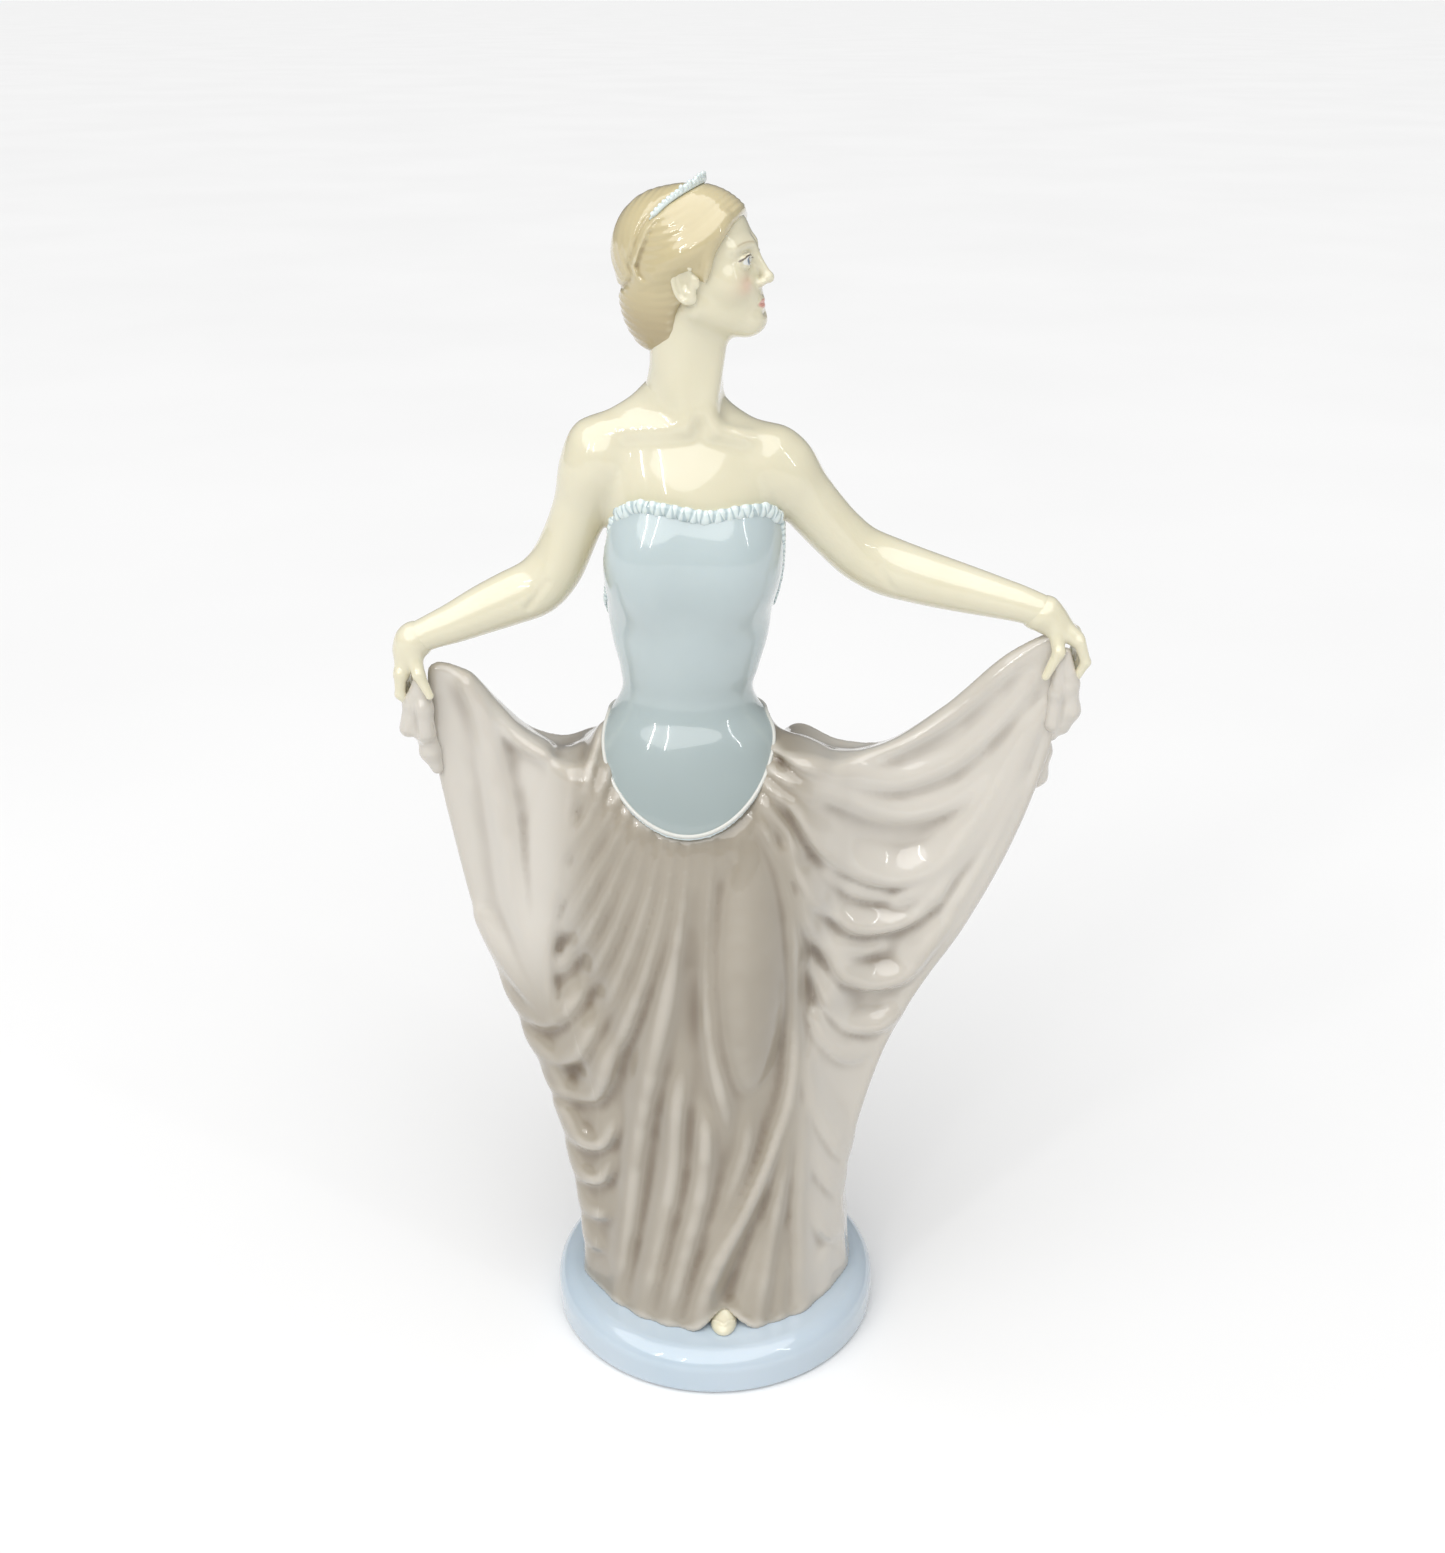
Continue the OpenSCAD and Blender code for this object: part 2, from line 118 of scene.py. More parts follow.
def bone(p, a, b, ra, rb):
    """Distance to a rounded, tapered rod."""
    a, b = np.array(a, float), np.array(b, float)
    d = b - a
    q = [c - m for c, m in zip(p, a)]
    t = np.clip(sum(c * k for c, k in zip(q, d)) / (d @ d), 0.0, 1.0)
    return np.sqrt(sum((c - t * k) ** 2 for c, k in zip(q, d))) - (ra + (rb - ra) * t)


def limb(p, stations, k=1.5):
    """A limb through stations (x, y, z, radius), blended where rods meet."""
    out = None
    for s, e in zip(stations[:-1], stations[1:]):
        rod = bone(p, s[:3], e[:3], s[3], e[3])
        out = rod if out is None else smin(out, rod, k)
    return out


# ---- meshes ----
def build(name, points, faces, stands_for, skin):
    """Makes a piece from points in millimetres and gives it its body, slot and material."""
    mesh = bpy.data.meshes.new(name)
    size = faces.shape[1]
    mesh.vertices.add(len(points))
    mesh.vertices.foreach_set("co", (points * MM).astype(F).ravel())
    mesh.loops.add(faces.size)
    mesh.loops.foreach_set("vertex_index", faces.astype(np.int32).ravel())
    mesh.polygons.add(len(faces))
    mesh.polygons.foreach_set("loop_start", np.arange(0, faces.size, size, dtype=np.int32))
    mesh.update(calc_edges=True)
    mesh.validate()
    mesh.shade_smooth()
    piece = bpy.data.objects.new(name, mesh)
    bpy.context.scene.collection.objects.link(piece)
    mesh.materials.append(skin)
    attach(piece, "root")
    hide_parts(*stands_for)
    return piece


def carve(field, lo, step):
    """The surface of a field: points in millimetres and four-sided faces."""
    band = 3.0 * step
    volume = openvdb.FloatGrid(band)
    volume.copyFromArray(np.ascontiguousarray(np.clip(field, -band, band), dtype=F))
    points, quads = volume.convertToQuads(isovalue=0.0)
    return points * step + np.array(lo), quads


def relax(points, quads, rounds, share=0.5):
    """Evens out a carved surface without shrinking it."""
    pairs = np.concatenate([quads[:, [0, 1]], quads[:, [1, 2]], quads[:, [2, 3]], quads[:, [3, 0]]])
    degree = np.bincount(pairs[:, 0], minlength=len(points))[:, None]
    for _ in range(rounds):
        for pull in (share, -share * 1.04):
            total = np.stack([np.bincount(pairs[:, 0], weights=points[pairs[:, 1], c],
                                          minlength=len(points)) for c in range(3)], 1)
            points = points + pull * (total / degree - points)
    return points


def hollows(points, quads, rounds=6):
    """How far each point lies in a hollow (positive) or on a ridge (negative)."""
    pairs = np.concatenate([quads[:, [0, 1]], quads[:, [1, 2]], quads[:, [2, 3]], quads[:, [3, 0]]])
    degree = np.bincount(pairs[:, 0], minlength=len(points))

    def around(v):
        return np.bincount(pairs[:, 0], weights=v[pairs[:, 1]], minlength=len(points)) / degree

    across = np.cross(points[quads[:, 2]] - points[quads[:, 0]], points[quads[:, 3]] - points[quads[:, 1]])
    normal = np.stack([sum(np.bincount(quads[:, k], weights=across[:, c], minlength=len(points))
                           for k in range(4)) for c in range(3)], 1)
    normal /= np.linalg.norm(normal, axis=1)[:, None] + 1e-9
    wide = points
    for _ in range(rounds):
        wide = np.stack([around(wide[:, c]) for c in range(3)], 1)
    depth = ((wide - points) * normal).sum(1)
    for _ in range(3):
        depth = around(depth)
    return depth


def tint(piece, name, values):
    """Stores one number per point for the material to read."""
    layer = piece.data.attributes.new(name, "FLOAT", "POINT")
    layer.data.foreach_set("value", np.asarray(values, dtype=F))


def carved(name, node, skin, field, lo, step, rounds=2, spread=8):
    """Carves, evens out and builds a piece, and notes its hollows over the given spread."""
    points, quads = carve(field, lo, step)
    points = relax(points, quads, rounds)
    # Blender numbers a material whose name is taken, and the slot is the name without that number.
    piece = build(name, points, quads, [node], skin)
    # The hollows get pooled glaze and painted shade, and the ridges get thinned glaze and a painted
    # highlight.
    tint(piece, "hollow", hollows(points, quads, spread))
    return piece, points


# ---- materials ----
def node_tree(name):
    material = bpy.data.materials.new(name)
    material.use_nodes = True
    tree = material.node_tree
    return material, tree, tree.nodes["Principled BSDF"]


def noise(tree, scale, detail):
    """Soft noise fixed to the piece."""
    place = tree.nodes.new("ShaderNodeTexCoord")
    cloud = tree.nodes.new("ShaderNodeTexNoise")
    cloud.inputs["Scale"].default_value = scale
    cloud.inputs["Detail"].default_value = detail
    tree.links.new(place.outputs["Object"], cloud.inputs["Vector"])
    return cloud.outputs["Fac"]


def mottled(tree, low, high, scale, detail=3.0):
    """A slow drift between two glaze colours."""
    ramp = tree.nodes.new("ShaderNodeValToRGB")
    ramp.color_ramp.elements[0].position = 0.35
    ramp.color_ramp.elements[1].position = 0.65
    ramp.color_ramp.elements[0].color = (*low, 1.0)
    ramp.color_ramp.elements[1].color = (*high, 1.0)
    tree.links.new(noise(tree, scale, detail), ramp.inputs["Fac"])
    return ramp.outputs["Color"]


def blend(tree, factor, a, b):
    """Mixes two colours; b may be a plain colour."""
    mix = tree.nodes.new("ShaderNodeMix")
    mix.data_type = "RGBA"
    tree.links.new(factor, mix.inputs["Factor"])
    tree.links.new(a, mix.inputs["A"])
    if isinstance(b, tuple):
        mix.inputs["B"].default_value = (*b, 1.0)
    else:
        tree.links.new(b, mix.inputs["B"])
    return mix.outputs["Result"]


def attribute(tree, name, low, high):
    """A stored number, brought to the range 0 to 1."""
    read = tree.nodes.new("ShaderNodeAttribute")
    read.attribute_name = name
    span = tree.nodes.new("ShaderNodeMapRange")
    span.interpolation_type = "SMOOTHSTEP"
    span.inputs["From Min"].default_value = low
    span.inputs["From Max"].default_value = high
    tree.links.new(read.outputs["Fac"], span.inputs["Value"])
    return span.outputs["Result"]


def glaze_ripple(tree, shader, strength=0.05, scale=90.0):
    """The faint unevenness of a poured glaze."""
    waves = noise(tree, scale, 1.0)
    bump = tree.nodes.new("ShaderNodeBump")
    bump.inputs["Strength"].default_value = strength
    bump.inputs["Distance"].default_value = 0.002
    tree.links.new(waves, bump.inputs["Height"])
    tree.links.new(bump.outputs["Normal"], shader.inputs["Normal"])
    tree.links.new(bump.outputs["Normal"], shader.inputs["Coat Normal"])
    return waves


def glaze(name, low, high, pool_and_shade, ridge, hollow_range=(0.0, 0.12), scale=40.0, painted_light_and_shade=None):
    """Glazed porcelain: colour drifts, pools in the hollows and thins on the ridges. The pooled colour also
    stands for painted shade in the hollows and the thinned one for a painted highlight on the ridges; the
    optional colour is painted light on the skirt and painted shade on the bodice and hair.
    """
    material, tree, shader = node_tree(name)
    colour = mottled(tree, low, high, scale)
    if painted_light_and_shade:
        colour = blend(tree, attribute(tree, "painted_light_and_shade", 0.0, 1.0), colour, painted_light_and_shade)
    colour = blend(tree, attribute(tree, "hollow", *hollow_range), colour, pool_and_shade)
    colour = blend(tree, attribute(tree, "hollow", -0.02, -hollow_range[1]), colour, ridge)
    tree.links.new(colour, shader.inputs["Base Color"])
    ripple = glaze_ripple(tree, shader)
    gloss = tree.nodes.new("ShaderNodeMapRange")
    gloss.inputs["To Min"].default_value = 0.12
    gloss.inputs["To Max"].default_value = 0.2
    tree.links.new(ripple, gloss.inputs["Value"])
    tree.links.new(gloss.outputs["Result"], shader.inputs["Roughness"])
    shader.inputs["IOR"].default_value = 1.5
    shader.inputs["Specular IOR Level"].default_value = 0.25
    shader.inputs["Coat Weight"].default_value = 1.0
    shader.inputs["Coat Roughness"].default_value = 0.03
    shader.inputs["Subsurface Weight"].default_value = 0.12
    shader.inputs["Subsurface Radius"].default_value = (0.004, 0.003, 0.002)
    return material


# Each pool colour is pooled glaze and also painted shade in the hollows; each ridge colour is thinned glaze
# and also a painted highlight on the ridges. The skirt's last colour is painted light on the held-out cloth.
SKIRT = glaze("skirt_glaze", (0.325, 0.287, 0.228), (0.365, 0.325, 0.262), (0.165, 0.122, 0.08),
              (0.53, 0.49, 0.425), (0.01, 0.36), painted_light_and_shade=(0.62, 0.585, 0.525))
SKIN = glaze("skin_glaze", (0.71, 0.665, 0.49), (0.74, 0.70, 0.54), (0.50, 0.41, 0.26),
             (0.80, 0.76, 0.60), (0.05, 0.45))
# The bodice's last colour is painted shade, laid on towards the waist.
BODICE = glaze("bodice_glaze", (0.48, 0.56, 0.57), (0.52, 0.60, 0.61), (0.30, 0.36, 0.355),
               (0.62, 0.70, 0.71), (0.005, 0.25), painted_light_and_shade=(0.33, 0.385, 0.38))
TRIM = glaze("trim_glaze", (0.68, 0.77, 0.76), (0.73, 0.81, 0.80), (0.40, 0.50, 0.52),
             (0.80, 0.87, 0.86), (0.005, 0.08))
PIPING = glaze("piping_glaze", (0.60, 0.60, 0.56), (0.64, 0.64, 0.60), (0.44, 0.40, 0.34),
               (0.72, 0.71, 0.68))
# The hair's last colour is painted shade, laid on towards its lower edge.
HAIR = glaze("hair_glaze", (0.55, 0.47, 0.275), (0.60, 0.52, 0.325), (0.34, 0.26, 0.13),
             (0.66, 0.59, 0.40), (0.01, 0.14), painted_light_and_shade=(0.40, 0.32, 0.18))
BASE = glaze("base_glaze", (0.47, 0.56, 0.635), (0.52, 0.60, 0.67), (0.38, 0.46, 0.55),
             (0.60, 0.67, 0.73), (0.01, 0.2), scale=25.0)


# ---- skirt ----
# Rows: height, centre x, half width, centre y, half depth.
COLUMN = [[10, 0.5, 36.5, 0, 34.4], [18, 0.2, 34, 0, 31.8], [28, 0, 32.5, 0, 29.4], [60, -1, 31, 0, 26],
          [90, -3, 30, -1, 24.5], [120, -5, 28.5, -1, 23], [140, -6, 28, -1, 21.5],
          [156, -6.5, 27.0, -0.5, 19.8], [165, -6.5, 25.2, 0, 18.2], [171, -6.5, 22.5, 0, 16.2],
          [177, -6.5, 18.0, 0, 13.0]]
# The free edges of the lifted cloth: height, x.
RIGHT_EDGE = [[12, -36.5], [42, -38], [66, -43], [90, -51], [115, -60], [145, -66], [175, -70], [195, -70]]
LEFT_EDGE = [[12, 36.5], [45, 36.5], [66, 41], [90, 49], [120, 65], [150, 77], [175, 83.5], [200, 84]]
# Their upper edges: x, height.
RIGHT_TOP = [[-76, 190], [-62, 190], [-52, 180], [-45, 172], [-37, 167], [-30, 166], [-18, 148], [-6, 144]]
LEFT_TOP = [[-6, 144], [6, 148], [19, 168], [31, 166.5], [42, 169], [55, 179], [70, 194], [84, 200],
            [90, 198]]
SIDE_SEAM_RIGHT = [[12, -33], [75, -31], [110, -39], [130, -38], [155, -33], [180, -27]]
SIDE_SEAM_LEFT = [[12, 33], [50, 27.5], [80, 24], [110, 25], [150, 18], [180, 12]]


# Folds of the front, as the cloth is seen from the front. Each is a rounded ridge: its line as
# points (x, height, half width), how steep it stands, how far its crest leans to one side, and the
# shares of its length over which it rises and dies away. A lean above 0 is gentle on the left
# of the direction of travel and steep on the right.
GATHERS = [
    ([(-28, 173, 1.8), (-31, 162, 2.4), (-34, 152, 2.6)], 0.6, 0, 0.1, 0.4),
    ([(-25.5, 166, 1.8), (-29.5, 157, 2.5), (-35, 147, 3.2), (-39, 137, 3)], 0.62, 0.1, 0.1, 0.3),
    ([(-23, 161, 1.8), (-27, 153.5, 2.4), (-33, 143, 3.2), (-38.5, 131, 3.4), (-41, 120, 3)],
     0.62, 0.1, 0.1, 0.3),
    ([(-20.6, 157.5, 1.8), (-24.5, 149, 2.5), (-31.5, 136, 3.4), (-38.5, 122, 3.6), (-43, 111, 3)],
     0.62, 0.1, 0.1, 0.25),
    ([(-18, 154.5, 1.8), (-22.5, 144, 2.6), (-30, 127.5, 3.4), (-38, 113, 3.6), (-45, 105, 3)],
     0.66, 0.1, 0.1, 0.2),
    ([(-15.5, 152.5, 1.8), (-20, 138, 2.8), (-27.5, 119, 3.8), (-36, 102.5, 4.4), (-45, 94.5, 4.6),
      (-53, 98, 4), (-59, 109, 3)], 0.62, -0.15, 0.08, 0.12),
    ([(-12.5, 150.5, 1.8), (-16.5, 134, 2.8), (-23.5, 113, 4), (-31.5, 95, 4.6), (-41, 83.5, 5),
      (-49, 86, 4.4), (-55, 97, 3)], 0.62, -0.2, 0.08, 0.12),
    ([(-9.5, 149.5, 1.7), (-12.5, 131, 2.8), (-18.5, 111, 3.8), (-26, 92, 4.4), (-34.5, 74.5, 4.4),
      (-42, 74, 4), (-48, 84, 3)], 0.6, -0.2, 0.08, 0.12),
    ([(-6.3, 149, 1.6), (-8.2, 131, 2.9), (-12, 110, 3.8), (-16.5, 88, 4), (-20.5, 64, 3.8),
      (-23, 42, 3.8), (-28, 8, 4.4)], 0.62, 0, 0.06, 0),
    ([(-3.2, 149.5, 1.6), (-4.6, 136, 2), (-5.6, 118, 2.4), (-7, 96, 2.4)], 0.55, 0, 0.1, 0.5),
    ([(-0.3, 150, 1.6), (-1.4, 134, 2.4), (-1.8, 114, 2.6), (-0.4, 94, 2.6), (2.5, 74, 2.8),
      (2.5, 56, 3)], 0.55, 0, 0.08, 0.3),
    ([(2.7, 150.5, 1.5), (1.9, 141, 1.7), (0.9, 131, 1.5)], 0.6, 0, 0.12, 0.6),
    ([(5.6, 152, 1.6), (5, 144, 1.9), (4.2, 136, 1.5)], 0.6, 0, 0.12, 0.6),
    ([(8.2, 154, 1.5), (8.4, 146, 2.2), (8.8, 138, 2.6)], 0.5, 0, 0.12, 0.7),
    ([(10.6, 157, 1.5), (12.6, 149, 1.8), (14.2, 141, 1.6)], 0.6, 0, 0.12, 0.6),
    ([(13, 166, 1.4), (19, 163, 1.8), (24.5, 158.5, 1.8), (29, 153, 1.5)], 0.75, 0.1, 0.12, 0.4),
    ([(12.6, 162.5, 1.4), (18, 158, 1.8), (23, 151.5, 2), (27, 144, 1.6)], 0.75, 0.1, 0.12, 0.4),
    ([(12, 159, 1.4), (16.5, 152.5, 1.8), (20.5, 144.5, 2), (23.5, 136, 1.6)], 0.75, 0.1, 0.12, 0.4),
    ([(13.6, 170, 1.6), (20, 168.5, 2.6), (27, 165.5, 2.4), (33, 161, 1.8)], 0.7, 0.1, 0.12, 0.4),
]
LEG = [
    ([(12.5, 153, 1.6), (17.2, 139, 2.1), (20.2, 118, 2.3), (20.6, 96, 2.5), (19.6, 78, 2.8),
      (15, 62, 3.4), (8.5, 47, 3.8), (1, 32, 4.2), (-6, 8, 5)], 0.72, 0, 0.06, 0),
    ([(20.8, 92, 2), (20.2, 74, 2.8), (18.2, 56, 3.2), (15, 36, 3.6), (10, 8, 4.6)], 0.62, 0, 0.2, 0),
    ([(22, 84, 2), (23, 64, 3), (22.6, 44, 3.4), (24, 8, 4.6)], 0.6, 0, 0.2, 0),
]
SWAGS = [
    ([(17, 171, 1.5), (30, 168, 2.4), (42, 168.5, 2.8), (55, 175, 2.6), (68, 187, 1.8), (78, 196, 1.4)],
     0.42, 0.2, 0.1, 0.1),
    ([(17, 169, 1.6), (30, 163.5, 3.2), (45, 159.5, 3.8), (57, 164, 3.6), (69, 176, 2.6), (79, 190, 1.5)],
     0.42, 0.3, 0.08, 0.1),
    ([(17, 167, 1.6), (31, 158, 3.4), (46, 150.8, 4.4), (58, 154, 4), (70, 167, 2.8), (79, 183, 1.5)],
     0.44, 0.35, 0.08, 0.1),
    ([(16, 164, 1.6), (20, 156, 3.2), (27, 145.5, 4.2), (36, 137, 5), (46, 133.4, 5.2), (55, 136.5, 5),
      (64, 149, 4.4), (72, 167, 2.6), (79, 184, 1.5)], 0.72, 0.45, 0.06, 0.1),
    ([(24, 144, 1.2), (31, 135, 2), (40, 128.6, 2.4), (49, 127.5, 2.2), (55, 131, 1.6)],
     0.6, 0.2, 0.2, 0.2),
    ([(15.5, 151, 1.5), (20, 139.5, 3), (28, 127.5, 3.8), (37, 120.6, 4.2), (46, 120.4, 4.2),
      (53, 125, 4.6), (60, 137, 3.4), (68, 155, 2.2)], 0.72, 0.55, 0.06, 0.2),
    ([(22, 129, 1.2), (29, 119.5, 1.8), (38, 113.2, 2.2), (46, 113.6, 1.8)], 0.6, 0.2, 0.2, 0.2),
    ([(18.5, 141, 1.6), (23.5, 125, 3.4), (31, 111, 4.2), (40, 103.6, 4.6), (48, 105, 4.6), (55, 114, 4.2),
      (63, 130, 3.4), (71, 148, 2.4), (79, 170, 1.6)], 0.66, 0.5, 0.08, 0.12),
    ([(23, 116, 1.4), (28.5, 101, 2.8), (36, 91.5, 3.8), (44, 90.5, 3.6), (50, 96, 3)], 0.6, 0.45, 0.15, 0.1),
    ([(23.5, 101, 1.4), (29, 90, 2.6), (37, 82, 3.2), (44, 84, 2.4)], 0.5, 0.4, 0.15, 0.4),
    ([(22.5, 92, 1.6), (25.5, 74, 3), (32, 59, 3.6), (39, 46, 3.2)], 0.5, 0.2, 0.15, 0.25),
    ([(22.5, 75, 1.6), (27, 55, 3), (37, 37, 3.4)], 0.46, 0.2, 0.15, 0.25),
    ([(21, 60, 1.6), (26, 40, 3.2), (36, 22, 3.4)], 0.48, 0.15, 0.15, 0.2),
    ([(20, 44, 1.6), (24.5, 27, 2.8), (31, 10, 3.4)], 0.44, 0.1, 0.2, 0),
    ([(81, 186, 1.6), (73, 165, 2.6), (66, 149, 3.6), (58, 138, 4.2), (48, 129, 4.4), (38.5, 120.5, 3)],
     0.66, 0.45, 0.08, 0.15),
    ([(83, 178, 1.6), (77.5, 158, 2.6), (70, 139, 3.2), (61, 122, 3.6), (52, 106, 3)], 0.4, 0, 0.1, 0.2),
]
LOWER = [
    ([(-8, 92, 2.4), (-10, 76, 3.2), (-11.5, 56, 3.6), (-15.5, 34, 4), (-21, 8, 4.6)], 0.6, 0, 0.2, 0),
    ([(-2.6, 82, 2.4), (-2.4, 68, 3.2), (-4.2, 50, 3.6), (-8.5, 32, 4), (-14, 8, 4.6)],
     0.58, 0, 0.2, 0),
    ([(8, 78, 2.4), (8.2, 66, 3), (4.5, 50, 3.4), (-1, 34, 3.4), (-4, 24, 3)], 0.42, 0, 0.25, 0.3),
    ([(14, 50, 2), (12, 36, 2.6), (5, 8, 3.4)], 0.5, 0, 0.3, 0),
    ([(19, 46, 2), (18.5, 30, 2.8), (17, 8, 3.6)], 0.5, 0, 0.3, 0),
    ([(28, 28, 2), (31, 18, 3), (33, 8, 3.6)], 0.5, 0, 0.3, 0),
    ([(-27, 26, 2), (-30, 18, 3), (-33, 8, 3.6)], 0.5, 0, 0.3, 0),
]
# The big smooth panel that hangs from the right hand.
RIGHT_CLOTH = [
    ([(-32.5, 170, 2.6), (-35, 152, 4.6), (-39.2, 131, 7), (-41.6, 112, 8), (-41.4, 95, 5.6)],
     0.62, -0.82, 0.08, 0),
    ([(-63, 124, 3), (-57, 113, 5.4), (-50, 103, 6.6), (-41.4, 94.6, 5.6)], 0.6, 0.72, 0.1, 0),
    ([(-61, 191, 2.8), (-55.5, 179, 3.8), (-53, 162, 4), (-51, 147, 4.4), (-47.5, 120, 5),
      (-42.5, 97, 4.2)], 0.7, -0.2, 0.06, 0.05),
    ([(-57, 184, 1.6), (-47.5, 171.5, 2.4), (-36, 167.5, 2.8)], 0.55, 0, 0.15, 0.2),
]
# Small hanging loops down the outer right side.
LOOPS = [([(x - 8 - w, z + 5 + 2 * w, w), (x - 3.5, z + 0.8, 1.1 * w), (x + 1, z + 1, w),
           (x + 6, z + 9, 0.8 * w), (x + 8, z + 17, 0.5 * w)], steep, 0.25, 0.1, 0.35)
         for x, z, w, steep in ((-34, 73, 3.8, 0.6), (-32, 59, 3.5, 0.56), (-32.5, 47.5, 3, 0.5),
                                (-31, 36.5, 3.2, 0.36), (-29.5, 25, 3.2, 0.24))]


def from_seam(folds):
    """Starts each fold a little above the waist seam, so it comes out from under the bodice."""
    out = []
    for route, *shape in folds:
        (x, z, w), (x2, z2, _) = route[:2]
        share = 4.5 / math.hypot(x - x2, z - z2)
        start = (x + share * (x - x2), z + share * (z - z2), 0.8 * w)
        length = sum(math.dist(a[:2], b[:2]) for a, b in zip(route[:-1], route[1:])) + 4.5
        shape[2] = 5.0 / length
        out.append(([start] + route, *shape))
    return out


FRONT_FOLDS = from_seam(GATHERS) + from_seam(LEG[:1]) + LEG[1:] + SWAGS + LOWER + RIGHT_CLOTH + LOOPS
# Broad dips: centre (x, height), half sizes, depth and tilt in degrees.
FRONT_DIPS = [((25.5, 112), (4.6, 21), 4, -14), ((34, 96), (7, 6), 2.4, -30),
              ((-33, 110), (4.5, 17), 2.6, 22), ((-36, 77), (5.5, 7), 2.2, 20),
              ((42, 126.5), (14, 3), 1.2, -8), ((38, 111), (11, 3), 1.2, -10),
              ((2.5, 20), (6.5, 8), 1.6, 0), ((-5.4, 110), (2, 24), 1, 0)]


def back_folds():
    """The back hangs in long folds from the waist, with shallow swags out to the hands."""
    rng = np.random.default_rng(7)
    folds = []
    for k in range(10):
        share = k / 9.0
        top = -24 + 35 * share
        foot = -34 + 69 * share
        bend = rng.uniform(-2.5, 2.5)
        steep = rng.uniform(0.56, 0.72)
        route = [(top, 178, 1.7), (0.75 * top + 0.25 * foot + bend, 132, 3),
                 (0.45 * top + 0.55 * foot - bend, 82, 3.8), (0.1 * top + 0.9 * foot, 36, 4.2),
                 (foot, 8, 4.8)]
        folds.append((route, steep, rng.uniform(-0.2, 0.2), 0.04, 0))
    for k in range(6):
        drop = 10.0 * k
        folds.append(([(27, 160 - 1.3 * drop, 2.6), (38, 156 - 1.45 * drop, 5),
                       (54, 161 - 1.3 * drop, 4.4), (79, 190 - 0.6 * drop, 2)], 0.6, 0.4, 0.3, 0.1))
        folds.append(([(-70, 186 - 0.6 * drop, 2), (-56, 163 - 1.25 * drop, 4),
                       (-45, 157 - 1.4 * drop, 4.6), (-34, 160 - 1.35 * drop, 3.2), (-24, 168 - drop, 1.6)],
                      0.6, 0.5, 0.1, 0.1))
    for k in range(5):
        z = 80 - 13.0 * k
        folds.append(([(26, z + 10, 2.2), (33, z, 3.4), (42, z - 2, 3.4)], 0.45, 0.3, 0.3, 0.1))
        folds.append(([(-46, z - 2, 3.4), (-35, z, 3.4), (-28, z + 10, 2.2)], 0.45, 0.3, 0.1, 0.3))
    return folds


def relief(xs, zs, folds, dips=()):
    """Height of the folds over a grid of x and height. Where folds meet, the higher one wins."""
    out = np.zeros((len(xs), len(zs)), F)
    for points, steep, lean, fade_in, fade_out in folds:
        line = spline(points, 14 * len(points))
        reach = 2.9 * line[:, 2].max()
        i0, i1 = np.searchsorted(xs, [line[:, 0].min() - reach, line[:, 0].max() + reach])
        j0, j1 = np.searchsorted(zs, [line[:, 1].min() - reach, line[:, 1].max() + reach])
        x = xs[i0:i1, None]
        z = zs[None, j0:j1]
        best = np.full((i1 - i0, j1 - j0), 1e9, F)
        side, along, width = (np.zeros_like(best) for _ in range(3))
        run = np.concatenate([[0.0], np.cumsum(np.linalg.norm(np.diff(line[:, :2], axis=0), axis=1))])
        run /= run[-1]
        for k in range(len(line) - 1):
            a, d = line[k], line[k + 1] - line[k]
            t = np.clip(((x - a[0]) * d[0] + (z - a[1]) * d[1]) / (d[0] ** 2 + d[1] ** 2), 0, 1)
            ex, ez = x - a[0] - t * d[0], z - a[1] - t * d[1]
            far = ex * ex + ez * ez
            near = far < best
            best = np.where(near, far, best)
            side = np.where(near, d[0] * ez - d[1] * ex, side)
            along = np.where(near, run[k] + t * (run[k + 1] - run[k]), along)
            width = np.where(near, a[2] + t * d[2], width)
        fade = smooth(along / max(fade_in, 0.001)) * smooth((1 - along) / max(fade_out, 0.001))
        spread = width * FOLD_SPREAD * (1.0 + lean * np.sign(side))
        rise = FOLD_HEIGHT * steep * np.sqrt(width) * fade * np.maximum(1.0 - best / spread ** 2, 0.0) ** 2
        out[i0:i1, j0:j1] = np.maximum(out[i0:i1, j0:j1], rise)
    for (x, z), (a, b), depth, tilt in dips:
        c, s = math.cos(math.radians(tilt)), math.sin(math.radians(tilt))
        dx, dz = xs[:, None] - x, zs[None, :] - z
        u, v = (c * dx + s * dz) / a, (c * dz - s * dx) / b
        out -= (depth * np.exp(-(u * u + v * v))).astype(F)
    return out


def soften(grid, rounds):
    """Rounds off the creases where folds meet."""
    for _ in range(rounds):
        for axis in (0, 1):
            grid = 0.5 * grid + 0.25 * (np.roll(grid, 1, axis) + np.roll(grid, -1, axis))
    return grid


FOLD_SPREAD = 1.36
FOLD_HEIGHT = 2.1
# The relief is raised a little after its creases are rounded, and all of it lies below the plain form.
RELIEF_GAIN = 1.25
RELIEF_SINK = 1.2
SKIRT_STEP = 0.72
SKIRT_LO = (-80.0, -46.0, 10.0)
SKIRT_HI = (94.0, 44.0, 206.0)


